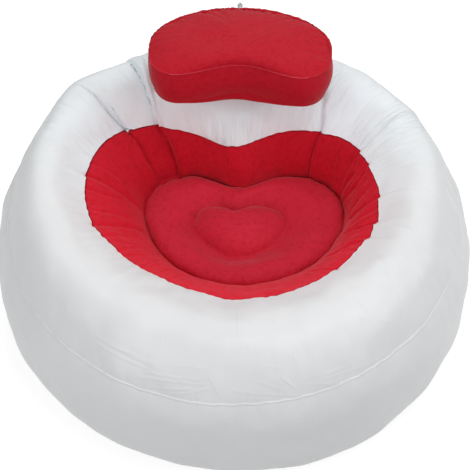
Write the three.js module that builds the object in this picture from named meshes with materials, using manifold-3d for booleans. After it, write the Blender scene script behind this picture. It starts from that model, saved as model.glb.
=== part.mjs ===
// Round inflatable lounge chair with a loose headrest pillow.
// Lengths are millimetres, +Z is up and the chair faces -Y. The origin is on the floor, under the
// middle of the chair. Every film panel is a thin closed shell between its skin and its inside face,
// and the panels meet in lapped welds with a small clearance.
import * as THREE from "three";
import { mergeVertices } from "three/addons/utils/BufferGeometryUtils.js";
import Module from "manifold-3d";

const wasm = await Module();
wasm.setup();

// Chair body, driving dimensions
const bulgeRadius = 550;
const bulgeHeight = 128;
const shoulderRadius = 505;
const shoulderHeight = 297;
const shoulderBackRise = 34;
const baseWeldRadius = 508;
const baseWeldHeight = 20;
const contactInset = 56;
const crownRadius = 430;
const rimRadius = 328;
const rimFrontHeight = 352;
const rimBackHeight = 340;
const floorRadius = 244;
const floorHeight = 205;
const floorAside = 18;
const beanRadius = 112;
const beanAside = 12;

// Heights of the ring's crown: low over the legs, higher behind the head
const crownFrontHeight = 386;
const crownArmHeight = 398;
const crownCornerHeight = 418;
const crownNeckHeight = 462;
const crownBackHeight = 478;

// Seat centre and shoulder centre, measured from the middle of the chair
const seatBack = 20;
const shoulderForward = 20;

// Seat floor: crowned between its welds
const floorCrown = 14;
const beanValleyDepth = 12;
const beanCrown = 20;

// Films and welds
const filmThickness = 0.6;
const flockThickness = 1;
const gap = 0.3;
const weldLap = 10;
const weldStep = 2;
const bandInset = 22;

// Folds where the ring buckles behind the arms, degrees about the seat centre
const foldAngles = [23, 43, 128, 147];
const foldHalfAngle = 2.4;
const foldDepth = 9;
const corners = [
  { angle: 23, reach: 8, halfAngle: 9 },
  { angle: 147, reach: 19, halfAngle: 22 },
];

// Vents in the tension bands
const ventRadius = 22;
const ventCutLength = 90;
const seatVentCount = 6;
const centreVentCount = 4;

// Main valve on the back of the side wall
const valveAngle = 90;
const valveSeatHalfWidth = 46;
const valveFlangeRadius = 33;
const valveFlangeThickness = 1.4;
const valveCollarRadius = 23;
const valveCollarHeight = 4;
const valveBoreRadius = 18;
const valveTubeWall = 2.4;
const valveTubeDepth = 13;
const insertFlangeRadius = 23;
const insertFlangeThickness = 1.6;
const insertBoreRadius = 9;
const insertCupRadius = 13.5;
const insertSeatDepth = 6;
const insertSeatThickness = 1.6;
const flapRadius = 11.5;
const flapThickness = 0.6;
const flapTabWidth = 6;
const capRadius = 15.5;
const capThickness = 1.8;
const capPlugDepth = 2.6;
const capPlugClearance = 0.6;
const hingeBarrelRadius = 1.4;
const hingeBarrelLength = 9;
const hingeReach = 20;
const tabReach = 20;
const tabWidth = 9;
const lugCount = 3;
const lugAngle = 24;
const lugReach = 1.3;
const lugThickness = 2.2;

// Pillow
const pillowHalfWidth = 203;
const pillowHalfDepth = 130;
const pillowBack = 232;
const pillowAside = 14;
const pillowRest = 4;
const pillowBandHeight = 92;
const pillowBandBulge = 7;
const pillowTaper = 6;
const pillowTopCrown = 24;
const pillowBottomCrown = 32;
const pillowBow = 12;
const pillowNotch = 62;
const pillowFrontRoundness = 0.8;
const pillowBackRoundness = 0.94;
const pillowSeatClearance = 1.3;

// Pillow valve, at the back of the pillow's side band
const stemAngle = 90;
const stemSeatHalfAngle = 8;
const stemFlangeRadius = 10.5;
const stemFlangeThickness = 1.2;
const stemCollarRadius = 8;
const stemCollarHeight = 4;
const stemTubeDepth = 5;
const stemTubeWall = 1.2;
const stemRadius = 5.5;
const stemBoreRadius = 3.8;
const stemOutside = 32;
const stemFootRadius = 7;
const stemFootThickness = 1.4;
const stemTabThickness = 1.6;
const plugHeadRadius = 6.4;
const plugHeadThickness = 2.4;
const plugShankDepth = 2.2;
const plugClearance = 0.8;
const plugHingeReach = 9;
const plugBarrelRadius = 1.1;
const plugBarrelLength = 5;
const plugTabReach = 9.5;

// Faceting
const ringStations = 52;
const pillowStations = 40;
const leastStepShare = 0.45;
const turnSteps = 28;
const holeSteps = 20;
const lugSteps = 3;
const cutOverrun = 6;
const mergeTolerance = 1e-4;

const degree = Math.PI / 180;
const fullTurn = 360;
const frontAngle = -90;
const backAngle = 90;

// Plan outlines and heights as [angle, share or height], from the front (-90) by the right side (0) and
// the back (90), and the longer tables on by the left side (180). backShifts and frontShifts hold the
// millimetres that the ring's back and its base weld stand out from or in from their circles.
const rimShares = [
  [-90, 0.981], [-70, 0.986], [-45, 0.99], [-20, 1.004], [-5, 0.985], [10, 0.955], [20, 0.935],
  [30, 0.895], [40, 0.802], [50, 0.712], [60, 0.592], [70, 0.482], [80, 0.418], [90, 0.4],
  [100, 0.418], [110, 0.49], [120, 0.6], [130, 0.735], [140, 0.872], [150, 0.975], [160, 1.015],
  [180, 1.02], [200, 1.006], [215, 0.965], [235, 0.937], [255, 0.948],
];
const floorShares = [
  [-90, 0.725], [-57, 0.742], [-35, 0.809], [-18, 0.879], [-2, 0.955], [10, 1], [21, 1.015],
  [33, 0.966], [44, 0.86], [52, 0.765], [60, 0.64], [68, 0.535], [79, 0.47], [90, 0.485],
  [98, 0.54], [107, 0.625], [117, 0.745], [126, 0.845], [139, 0.95], [151, 0.992], [163, 0.974],
  [178, 0.912], [197, 0.851], [216, 0.798], [240, 0.755],
];
const beanShares = [
  [-90, 0.82], [-50, 0.82], [-31, 0.835], [5, 1], [20, 0.99], [37, 0.87], [52, 0.66], [62, 0.48],
  [71, 0.39], [85, 0.38], [100, 0.43], [115, 0.62], [135, 0.86], [155, 0.99], [174, 0.985],
  [200, 0.88], [227, 0.8], [250, 0.81],
];
const crownShares = [[-90, 1], [0, 1], [35, 0.97], [60, 0.84], [90, 0.76]];
const crownHeights = [
  [-90, crownFrontHeight], [-10, crownArmHeight], [25, crownCornerHeight],
  [58, crownNeckHeight], [90, crownBackHeight],
];
const backShifts = [
  [-90, 0], [-30, 0], [-5, 3], [8, 9], [20, 0], [30, -10], [38, -12], [55, -15], [75, -6], [90, 0],
  [105, -6], [122, -17], [130, -15], [138, -12], [146, 0], [160, 7], [172, 9], [185, 3], [200, 0],
];
const frontShifts = [
  [-90, 6], [-65, 19], [-45, 19], [-25, 9], [0, 0], [90, 0], [180, 0], [250, 0],
];
const rimHeights = [[-90, rimFrontHeight], [10, rimFrontHeight], [90, rimBackHeight]];
const rimSlopes = [[-90, 24], [0, 32], [40, 52], [90, 62]];

// How far two angles lie apart, in degrees
function apart(a, b) {
  const turned = (((a - b) % fullTurn) + fullTurn) % fullTurn;
  return Math.min(turned, fullTurn - turned);
}

// A smooth value round the chair from such a table. A table that ends at the back is mirrored to the
// other side, and a longer one goes the whole turn.
function around(table) {
  const whole = table[table.length - 1][0] > backAngle;
  const rows = whole ? [...table, [table[0][0] + fullTurn, table[0][1]]] : table;
  const last = rows.length - 1;
  const slopes = rows.map((row, i) => {
    if (!whole && (i === 0 || i === last)) return 0;
    const before = i === 0 ? [rows[last - 1][0] - fullTurn, rows[last - 1][1]] : rows[i - 1];
    const after = i === last ? [rows[1][0] + fullTurn, rows[1][1]] : rows[i + 1];
    return (after[1] - before[1]) / (after[0] - before[0]);
  });
  return (angle) => {
    const forward = (((angle - frontAngle) % fullTurn) + fullTurn) % fullTurn;
    const at = frontAngle + (whole ? forward : apart(angle, frontAngle));
    let i = 0;
    while (i < last - 1 && at > rows[i + 1][0]) i += 1;
    const span = rows[i + 1][0] - rows[i][0];
    const u = (at - rows[i][0]) / span;
    const rise = u * u * (3 - 2 * u);
    const start = u * (1 - u) * (1 - u) * span * slopes[i];
    const end = u * u * (1 - u) * span * slopes[i + 1];
    return rows[i][1] + (rows[i + 1][1] - rows[i][1]) * rise + start - end;
  };
}

const rimShare = around(rimShares);
const floorShare = around(floorShares);
const beanShare = around(beanShares);
const crownShare = around(crownShares);
const crownHeight = around(crownHeights);
const rimHeight = around(rimHeights);
const rimSlope = around(rimSlopes);
const backShift = around(backShifts);
const frontShift = around(frontShifts);
const crownShiftShare = 0.7;

// Reach from the seat centre to a circle whose centre lies forward of it
function circleReach(radius, forward, angle) {
  const along = -forward * Math.sin(angle * degree);
  const across = forward * Math.cos(angle * degree);
  return along + Math.sqrt(radius * radius - across * across);
}

// The outer rings stand out a little at the two corners, where the ring buckles
function cornerSwell(angle) {
  return corners.reduce(
    (sum, corner) => sum + corner.reach * Math.exp(-apart(angle, corner.angle) / corner.halfAngle), 0);
}

function foldStrength(angle) {
  return foldAngles.reduce(
    (sum, at) => sum + Math.max(0, 1 - apart(angle, at) / foldHalfAngle), 0);
}

function bezier(a, b, c, d, u) {
  const v = 1 - u;
  return [0, 1].map((k) =>
    v * v * v * a[k] + 3 * v * v * u * b[k] + 3 * v * u * u * c[k] + u * u * u * d[k]);
}

const mix = (a, b, u) => a + (b - a) * u;

// The seat floor and its bean lie a little to the right of the rim
const aside = (angle, shift) => shift * Math.cos(angle * degree);
const floorEdgeReach = (angle) => floorRadius * floorShare(angle) + aside(angle, floorAside);
const beanReach = (angle) => beanRadius * beanShare(angle) + aside(angle, beanAside);

// Handle lengths and swelling of the section's curves, as shares of the span
const bulgeSwellShare = 0.8;
const wallSwellShare = 0.1;
const innerHandleShares = [0.34, 0.4];
const outerHandleShares = [0.5, 0.4];
const upperHandleShares = [0.35, 0.45];
const lowerHandleShares = [0.5, 0.4];
const wallDentStart = 0.35;
const rimDentShares = [0.55, 0.6];

// Slopes of the film at the shoulder weld and at the base weld, degrees below level
const shoulderDrop = 62;
const baseSlope = 38;

// The key points of the upright section at an angle, as [reach from the seat centre, height]
function keys(angle) {
  const swell = cornerSwell(angle);
  const backness = Math.max(0, Math.sin(angle * degree));
  const shift = backShift(angle);
  return {
    floor: [floorEdgeReach(angle), floorHeight],
    rim: [rimRadius * rimShare(angle), rimHeight(angle)],
    crown: [
      crownRadius * crownShare(angle) + shift * crownShiftShare,
      crownHeight(angle) + swell,
    ],
    shoulder: [
      circleReach(shoulderRadius, seatBack + shoulderForward, angle) + swell + shift,
      shoulderHeight + shoulderBackRise * backness,
    ],
    bulge: [
      circleReach(bulgeRadius, seatBack, angle) + swell * bulgeSwellShare * Math.sqrt(backness),
      bulgeHeight,
    ],
    base: [circleReach(baseWeldRadius, seatBack, angle) + frontShift(angle), baseWeldHeight],
    contact: [
      circleReach(baseWeldRadius - contactInset, seatBack, angle) + frontShift(angle),
      0,
    ],
  };
}

// Seat wall, from just outside the floor weld up to the rim
function seatWallPoint(angle, u) {
  const { floor, rim } = keys(angle);
  const start = [floor[0] + weldStep, floor[1]];
  const run = rim[0] - start[0];
  const rise = rim[1] - start[1];
  const swell = [-rise * wallSwellShare, run * wallSwellShare];
  const lower = [start[0] + run / 3 + swell[0], start[1] + rise / 3 + swell[1]];
  const upper = [rim[0] - run / 3 + swell[0], rim[1] - rise / 3 + swell[1]];
  const point = bezier(start, lower, upper, rim, u);
  const dent = foldDepth * foldStrength(angle) * Math.min(1, u / wallDentStart);
  return [point[0] + dent * mix(1, rimDentShares[0], u), point[1] - dent * rimDentShares[1] * u];
}

// Inner face of the ring, from the rim up to the crown
function innerPoint(angle, u) {
  const { rim, crown } = keys(angle);
  const reach = Math.hypot(crown[0] - rim[0], crown[1] - rim[1]);
  const slope = rimSlope(angle) * degree;
  const out = innerHandleShares[0] * reach;
  const lower = [rim[0] + out * Math.cos(slope), rim[1] + out * Math.sin(slope)];
  const upper = [crown[0] - innerHandleShares[1] * reach, crown[1]];
  const point = bezier(rim, lower, upper, crown, u);
  const dent = foldDepth * foldStrength(angle);
  return [
    point[0] + dent * rimDentShares[0] * (1 - u),
    point[1] - dent * mix(rimDentShares[1], 1, u),
  ];
}

// Outer face of the ring, from the crown down to the shoulder weld
function outerPoint(angle, u) {
  const { crown, shoulder } = keys(angle);
  const run = shoulder[0] - crown[0];
  const drop = crown[1] - shoulder[1];
  const slope = shoulderDrop * degree;
  const handle = outerHandleShares[1] * drop;
  const upper = [crown[0] + outerHandleShares[0] * run, crown[1]];
  const lower = [shoulder[0] - (handle / Math.tan(slope)), shoulder[1] + handle];
  const point = bezier(crown, upper, lower, shoulder, u);
  const dent = foldDepth * foldStrength(angle) * (1 - u);
  return [point[0], point[1] - dent];
}

// Side wall, from the shoulder weld to the bulge and round to the base weld
function upperWallPoint(angle, u) {
  const { shoulder, bulge } = keys(angle);
  const slope = shoulderDrop * degree;
  const drop = shoulder[1] - bulge[1];
  const handle = upperHandleShares[0] * drop;
  const upper = [shoulder[0] + handle / Math.tan(slope), shoulder[1] - handle];
  const lower = [bulge[0], bulge[1] + upperHandleShares[1] * drop];
  return bezier(shoulder, upper, lower, bulge, u);
}

function lowerWallPoint(angle, u) {
  const { bulge, base } = keys(angle);
  const drop = bulge[1] - base[1];
  const slope = baseSlope * degree;
  const out = lowerHandleShares[1] * (bulge[0] - base[0]);
  const upper = [bulge[0], bulge[1] - lowerHandleShares[0] * drop];
  const lower = [base[0] + out, base[1] + out * Math.tan(slope)];
  return bezier(bulge, upper, lower, base, u);
}

// Seat floor: a share under 1 lies inside the bean weld, and from 1 to 2 between it and the edge
function floorPoint(angle, share) {
  const edge = floorEdgeReach(angle);
  const bean = beanReach(angle);
  const valley = floorHeight + floorCrown - beanValleyDepth;
  if (share < 1) return [bean * share, valley + beanCrown * (1 - share * share)];
  const u = share - 1;
  return [mix(bean, edge, u), mix(valley, floorHeight, u) + floorCrown * 4 * u * (1 - u)];
}

// Stations round the chair, with three at each fold and a flat place for the valve
const valveHalfAngle = Math.asin(valveSeatHalfWidth / shoulderRadius) / degree;
const valveEdges = [valveAngle - valveHalfAngle, valveAngle + valveHalfAngle];
const special = [
  ...foldAngles.flatMap((at) => [at - foldHalfAngle, at, at + foldHalfAngle]),
  ...valveEdges,
];
const step = fullTurn / ringStations;
const leastStep = step * leastStepShare;
const plain = Array.from({ length: ringStations }, (_, i) => i * step)
  .filter((at) => special.every((other) => apart(at, other) > leastStep))
  .filter((at) => apart(at, valveAngle) > valveHalfAngle);
const stations = [...plain, ...special].sort((a, b) => a - b);

const place = (angle, [reach, up]) => new THREE.Vector3(
  reach * Math.cos(angle * degree), seatBack + reach * Math.sin(angle * degree), up);
const ringRow = (pointAt) => stations.map((angle) => place(angle, pointAt(angle)));

// The normals of a grid of rows, out of the skin: rows run from the seat out, over and under
function gridNormals(rows) {
  return rows.map((row, j) => row.map((point, i) => {
    const count = row.length;
    const before = rows[Math.max(0, j - 1)][i];
    const after = rows[Math.min(rows.length - 1, j + 1)][i];
    const across = new THREE.Vector3().subVectors(after, before);
    const along = new THREE.Vector3().subVectors(row[(i + 1) % count], row[(i + count - 1) % count]);
    return across.cross(along).normalize();
  }));
}

// A row of points that lies under a row of another panel, at a depth below its skin
function under(rows, j, depth) {
  const normals = gridNormals(rows);
  return rows[j].map((point, i) => point.clone().addScaledVector(normals[j][i], -depth));
}

// A film panel: a closed shell from a grid of rows. A centre point may close its first or last row.
function film(rows, thickness, { firstCentre, lastCentre } = {}) {
  const normals = gridNormals(rows);
  const count = rows[0].length;
  const points = [];
  const faces = [];
  const skin = rows.map((row, j) => row.map((point) => points.push(point) - 1));
  const inside = rows.map((row, j) => row.map((point, i) =>
    points.push(point.clone().addScaledVector(normals[j][i], -thickness)) - 1));
  const quad = (a, b, c, d) => faces.push(a, b, c, a, c, d);
  for (let i = 0; i < count; i += 1) {
    const k = (i + 1) % count;
    for (let j = 0; j < rows.length - 1; j += 1) {
      quad(skin[j][i], skin[j + 1][i], skin[j + 1][k], skin[j][k]);
      quad(inside[j][i], inside[j][k], inside[j + 1][k], inside[j + 1][i]);
    }
  }
  const closeEnd = (centre, j, first) => {
    const up = normals[j].reduce((sum, n) => sum + n.z, 0) > 0 ? thickness : -thickness;
    const outer = centre ? points.push(centre) - 1 : -1;
    const inner = centre
      ? points.push(centre.clone().add(new THREE.Vector3(0, 0, -up))) - 1
      : -1;
    for (let i = 0; i < count; i += 1) {
      const k = (i + 1) % count;
      const [a, b] = first ? [i, k] : [k, i];
      if (centre) {
        faces.push(outer, skin[j][a], skin[j][b], inner, inside[j][b], inside[j][a]);
      } else {
        quad(skin[j][a], skin[j][b], inside[j][b], inside[j][a]);
      }
    }
  };
  closeEnd(firstCentre, 0, true);
  closeEnd(lastCentre, rows.length - 1, false);
  const geometry = new THREE.BufferGeometry().setFromPoints(points);
  geometry.setIndex(faces);
  return geometry;
}

// Closed meshes joined and cut
function solidOf(geometry) {
  const bare = new THREE.BufferGeometry().setAttribute("position", geometry.getAttribute("position"));
  if (geometry.index) bare.setIndex(geometry.index);
  const merged = mergeVertices(bare, mergeTolerance);
  return new wasm.Manifold(new wasm.Mesh({
    numProp: 3,
    vertProperties: merged.getAttribute("position").array,
    triVerts: new Uint32Array(merged.index.array),
  }));
}

function geometryOf(solid) {
  const mesh = solid.getMesh();
  const geometry = new THREE.BufferGeometry();
  geometry.setAttribute("position", new THREE.BufferAttribute(mesh.vertProperties, 3));
  geometry.setIndex(new THREE.BufferAttribute(mesh.triVerts, 1));
  return geometry;
}

const join = (...parts) =>
  geometryOf(parts.map(solidOf).reduce((sum, part) => sum.add(part)));
const cut = (body, ...tools) =>
  geometryOf(tools.map(solidOf).reduce((rest, tool) => rest.subtract(tool), solidOf(body)));

// Turned parts about +Z. The profile lists [radius, height] points round the section.
const onAxis = ([radius]) => radius === 0;
function turned(profile, steps = turnSteps) {
  const closed = profile.some(onAxis) ? profile : [...profile, profile[0]];
  return new THREE.LatheGeometry(closed.map(([r, h]) => new THREE.Vector2(r, h)), steps)
    .rotateX(Math.PI / 2);
}

const disc = (radius, low, high, steps = turnSteps) =>
  turned([[0, low], [radius, low], [radius, high], [0, high]], steps);

function block(width, length, height, x, y, z) {
  return new THREE.BoxGeometry(width, length, height).translate(x, y, z);
}

const barrel = (radius, length, y, z) =>
  new THREE.CylinderGeometry(radius, radius, length, holeSteps).rotateZ(Math.PI / 2).translate(0, y, z);

// Materials
const finish = (color, roughness, transparent = false) => new THREE.MeshStandardMaterial({
  color, roughness, metalness: 0, transparent, opacity: transparent ? 0.7 : 1,
});
const whiteVinyl = finish(0xe4e4e6, 0.4);
const redFlock = finish(0xc02338, 0.95);
const clearVinyl = finish(0xd5dde0, 0.2, true);
const valveVinyl = finish(0xd8d8da, 0.45);

const chair = new THREE.Group();
function add(name, geometry, material, parent = chair) {
  const mesh = new THREE.Mesh(geometry, material);
  mesh.name = name;
  parent.add(mesh);
  return mesh;
}

// Rows of each panel between its welds, as shares of the way along its section
const floorRowShares = [0.5, 0.85, 1, 1.18, 1.5];
const seatWallRowShares = [0.08, 0.3, 0.62];
const innerRowShares = [0.3, 0.6, 1];
const outerRowShares = [0.4, 0.72];
const valveRowShares = [0.28, 0.52, 0.8];
const lowerWallRowShare = 0.45;
const rowsAt = (shares, pointAt) => shares.map((share) => ringRow((a) => pointAt(a, share)));

// Seat floor panel: inside the bean, the bean valley, and out to the edge
const floorShareAt = (angle, inset) =>
  2 - inset / (floorEdgeReach(angle) - beanReach(angle));
const floorRows = [
  ...rowsAt(floorRowShares, floorPoint),
  ringRow((a) => floorPoint(a, floorShareAt(a, bandInset))),
  ringRow((a) => floorPoint(a, floorShareAt(a, weldLap))),
  ringRow((a) => floorPoint(a, 2)),
];
const bandRow = floorRowShares.length;
const beanRow = floorRowShares.indexOf(1);
add("seat_floor_panel",
  film(floorRows, flockThickness, { firstCentre: place(0, floorPoint(0, 0)).setX(0) }), redFlock);

// Seat wall panel: tucked under the floor's edge, then up to the rim
const wallShare = (angle, lap) => {
  const { floor, rim } = keys(angle);
  return 1 - lap / Math.hypot(rim[0] - floor[0], rim[1] - floor[1]);
};
const floorTuck = flockThickness + gap;
const seatWallRows = [
  under(floorRows, floorRows.length - 2, floorTuck),
  under(floorRows, floorRows.length - 1, floorTuck),
  ringRow((a) => [floorEdgeReach(a) + weldStep, floorHeight - floorTuck]),
  ...rowsAt(seatWallRowShares, seatWallPoint),
  ringRow((a) => seatWallPoint(a, wallShare(a, weldLap))),
  ringRow((a) => seatWallPoint(a, 1)),
];
add("seat_wall_panel", film(seatWallRows, flockThickness), redFlock);

// Top panel: tucked under the rim, over the crown and down to the shoulder weld
const shoulderShare = (angle, lap) => {
  const { crown, shoulder } = keys(angle);
  return 1 - lap / Math.hypot(shoulder[0] - crown[0], crown[1] - shoulder[1]);
};
const rimTuck = flockThickness + gap;
const topRows = [
  under(seatWallRows, seatWallRows.length - 2, rimTuck),
  under(seatWallRows, seatWallRows.length - 1, rimTuck),
  ...rowsAt(innerRowShares, innerPoint),
  ...rowsAt(outerRowShares, outerPoint),
  ringRow((a) => outerPoint(a, shoulderShare(a, weldLap))),
  ringRow((a) => outerPoint(a, 1)),
];
const topPanel = add("top_panel", film(topRows, filmThickness), whiteVinyl);

// Side wall panel: tucked under the top panel's edge, down over the bulge to the base weld.
// Between its two valve stations the upper wall is flat, for the valve's flange.
const isValveEdge = (angle) => valveEdges.includes(angle);
function sideWallPoint(angle, share) {
  const [high, , low] = valveRowShares;
  if (!isValveEdge(angle) || share < high || share > low) return upperWallPoint(angle, share);
  const top = upperWallPoint(angle, high);
  const bottom = upperWallPoint(angle, low);
  const u = (share - high) / (low - high);
  return [mix(top[0], bottom[0], u), mix(top[1], bottom[1], u)];
}
const baseShare = (angle, lap) => {
  const { bulge, base } = keys(angle);
  return 1 - lap / Math.hypot(bulge[0] - base[0], bulge[1] - base[1]);
};
const shoulderTuck = filmThickness + gap;
const sideWallRows = [
  under(topRows, topRows.length - 2, shoulderTuck),
  under(topRows, topRows.length - 1, shoulderTuck),
  ...rowsAt(valveRowShares, sideWallPoint),
  ringRow((a) => upperWallPoint(a, 1)),
  ringRow((a) => lowerWallPoint(a, lowerWallRowShare)),
  ringRow((a) => lowerWallPoint(a, baseShare(a, weldLap))),
  ringRow((a) => lowerWallPoint(a, 1)),
];

// The valve's own frame: on the flat of the wall, +Z out of the wall and +Y up along it
const valveRow = sideWallRows[2];
const lowRow = sideWallRows[2 + valveRowShares.length - 1];
const firstEdge = stations.indexOf(valveEdges[0]);
const secondEdge = stations.indexOf(valveEdges[1]);
function frameOn(a, b, c, d) {
  const centre = new THREE.Vector3().add(a).add(b).add(c).add(d).divideScalar(4);
  const up = new THREE.Vector3().add(a).add(b).sub(c).sub(d).normalize();
  const side = new THREE.Vector3().add(a).sub(b).add(d).sub(c).normalize();
  const out = new THREE.Vector3().crossVectors(side, up).normalize();
  const frame = new THREE.Group();
  frame.matrix.makeBasis(side, up, out).setPosition(centre);
  frame.matrix.decompose(frame.position, frame.quaternion, frame.scale);
  frame.updateMatrix();
  return frame;
}
const valve = frameOn(valveRow[secondEdge], valveRow[firstEdge], lowRow[firstEdge], lowRow[secondEdge]);
chair.add(valve);
const valveHole = disc(valveBoreRadius + valveTubeWall + gap, -cutOverrun, cutOverrun)
  .applyMatrix4(valve.matrix);
add("side_wall_panel", cut(film(sideWallRows, filmThickness), valveHole), whiteVinyl);

// Base panel: tucked inside the side wall's edge, then flat on the floor
const baseTuck = filmThickness + gap;
const baseRows = [
  under(sideWallRows, sideWallRows.length - 2, baseTuck),
  under(sideWallRows, sideWallRows.length - 1, baseTuck),
  ringRow((a) => keys(a).contact),
];
add("base_panel", film(baseRows, filmThickness, { lastCentre: new THREE.Vector3(0, seatBack, 0) }),
  whiteVinyl);

// Tension bands: from the base up to the underside of the seat floor, with vents
const footHeight = filmThickness + gap;
const bandGap = 2 * gap;
function band(name, row, ventCount) {
  const top = under(floorRows, row, flockThickness + bandGap);
  const foot = top.map((point) => point.clone().setZ(footHeight));
  const vents = Array.from({ length: ventCount }, (_, i) => {
    const at = top[Math.round((i + 0.5) * (top.length / ventCount)) % top.length];
    const angle = Math.atan2(at.y - seatBack, at.x);
    return new THREE.CylinderGeometry(ventRadius, ventRadius, ventCutLength, holeSteps)
      .rotateZ(Math.PI / 2).rotateZ(angle).translate(at.x, at.y, (at.z + footHeight) / 2);
  });
  add(name, cut(film([foot, top], filmThickness), ...vents), whiteVinyl);
}
band("seat_tension_band", bandRow, seatVentCount);
band("centre_tension_band", beanRow, centreVentCount);

// Main valve base: flange on the wall, collar, and a tube through it with bayonet slots
const tubeRadius = valveBoreRadius + valveTubeWall;
const collarTop = gap + valveFlangeThickness + valveCollarHeight;
const slotShares = Array.from({ length: lugCount }, (_, i) => i / lugCount);
function lug(reachFrom, reachTo, low, high, turn) {
  const half = (lugAngle / 2) * degree;
  const shape = new THREE.Shape();
  shape.absarc(0, 0, reachTo, -half, half, false);
  shape.absarc(0, 0, reachFrom, half, -half, true);
  const depth = high - low;
  return new THREE.ExtrudeGeometry(shape, { depth, bevelEnabled: false, curveSegments: lugSteps })
    .translate(0, 0, low).rotateZ(turn);
}
const slots = slotShares.map((share) => lug(
  valveBoreRadius - valveTubeWall, valveBoreRadius + lugReach + gap,
  -valveTubeDepth - cutOverrun, collarTop + cutOverrun, share * 2 * Math.PI));
const valveBody = turned([
  [valveBoreRadius, -valveTubeDepth],
  [tubeRadius, -valveTubeDepth],
  [tubeRadius, gap],
  [valveFlangeRadius, gap],
  [valveFlangeRadius, gap + valveFlangeThickness],
  [valveCollarRadius, gap + valveFlangeThickness],
  [valveCollarRadius, collarTop],
  [valveBoreRadius, collarTop],
]);
add("valve_base", cut(valveBody, ...slots), valveVinyl, valve);

// Valve insert: a cup with a seat for the flap, a flange on the collar and bayonet lugs under the tube
const insertRadius = valveBoreRadius - gap;
const insertTop = collarTop + gap + insertFlangeThickness;
const seatLevel = insertTop - insertSeatDepth;
const flapLevel = seatLevel - insertSeatThickness - gap;
const lugTop = -valveTubeDepth - gap;
const insertLow = lugTop - lugThickness;
const insertBody = turned([
  [insertBoreRadius, seatLevel - insertSeatThickness],
  [insertCupRadius, seatLevel - insertSeatThickness],
  [insertCupRadius, insertLow],
  [insertRadius, insertLow],
  [insertRadius, collarTop + gap],
  [insertFlangeRadius, collarTop + gap],
  [insertFlangeRadius, insertTop],
  [insertBoreRadius, insertTop],
]);
const lugs = slotShares.map((share) => lug(
  insertCupRadius + gap, valveBoreRadius + lugReach, insertLow, lugTop,
  (share + 0.5 / lugCount) * 2 * Math.PI));
add("valve_insert", join(insertBody, ...lugs), valveVinyl, valve);

// Valve flap: a disc under the seat, with a tab at its upper edge that holds it in the cup
const flapTabReach = Math.sqrt((insertCupRadius - gap) ** 2 - (flapTabWidth / 2) ** 2);
const flapTabLength = flapTabReach - flapRadius + flapTabWidth / 2;
add("valve_flap", join(
  disc(flapRadius, flapLevel - flapThickness, flapLevel),
  block(flapTabWidth, flapTabLength, flapThickness,
    0, flapTabReach - flapTabLength / 2, flapLevel - flapThickness / 2),
), valveVinyl, valve);

// Valve cap: a disc with a shallow plug, a barrel at the hinge and a finger tab
const capLow = insertTop + gap;
const barrelLevel = capLow + hingeBarrelRadius;
const plugOuter = insertBoreRadius - capPlugClearance;
const strapLength = hingeReach - capRadius + hingeBarrelRadius;
add("valve_cap", join(
  turned([
    [0, capLow], [plugOuter - capThickness, capLow], [plugOuter - capThickness, insertTop - capPlugDepth],
    [plugOuter, insertTop - capPlugDepth], [plugOuter, capLow], [capRadius, capLow],
    [capRadius, capLow + capThickness], [0, capLow + capThickness],
  ]),
  block(hingeBarrelLength, strapLength, capThickness,
    0, hingeReach - strapLength / 2, capLow + capThickness / 2),
  barrel(hingeBarrelRadius, hingeBarrelLength, hingeReach, barrelLevel),
  block(tabWidth, tabReach - capRadius + capThickness, capThickness,
    0, -(tabReach + capRadius - capThickness) / 2, capLow + capThickness / 2),
), valveVinyl, valve);

// Pillow plan: a kidney with a hollow front edge and a bowed back edge
const pillowEdges = [stemAngle - stemSeatHalfAngle, stemAngle + stemSeatHalfAngle];
const pillowStep = fullTurn / pillowStations;
const pillowAngles = Array.from({ length: pillowStations }, (_, i) => i * pillowStep)
  .filter((at) => apart(at, stemAngle) > stemSeatHalfAngle + leastStepShare * pillowStep)
  .concat(pillowEdges)
  .sort((a, b) => a - b);
function kidney(angle, share, swell = 0) {
  const c = Math.cos(angle * degree);
  const s = Math.sin(angle * degree);
  const backness = Math.sqrt(Math.max(0, s));
  const roundness = mix(pillowFrontRoundness, pillowBackRoundness, backness);
  const x = Math.sign(c) * Math.abs(c) ** roundness;
  const y = Math.sign(s) * Math.abs(s) ** roundness;
  const notch = s < 0 ? pillowNotch * Math.abs(s) * Math.cos((Math.PI / 2) * x) ** 2 : 0;
  const bow = pillowBow * (0.5 - x * x);
  return new THREE.Vector3(
    pillowAside + x * share * (pillowHalfWidth + swell),
    pillowBack + y * share * (pillowHalfDepth + swell) + (notch + bow) * share * share,
    0);
}

// Seams of the pillow, above the backrest's crown
const lowSeam = crownBackHeight + pillowRest;
const highSeam = lowSeam + pillowBandHeight;

// Height of the chair's skin straight below a place
const plumb = new THREE.Raycaster();
const down = new THREE.Vector3(0, 0, -1);
function skinHeight(place) {
  plumb.set(place.clone().setZ(highSeam), down);
  const [hit] = plumb.intersectObject(topPanel);
  return hit ? hit.point.z : 0;
}

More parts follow.
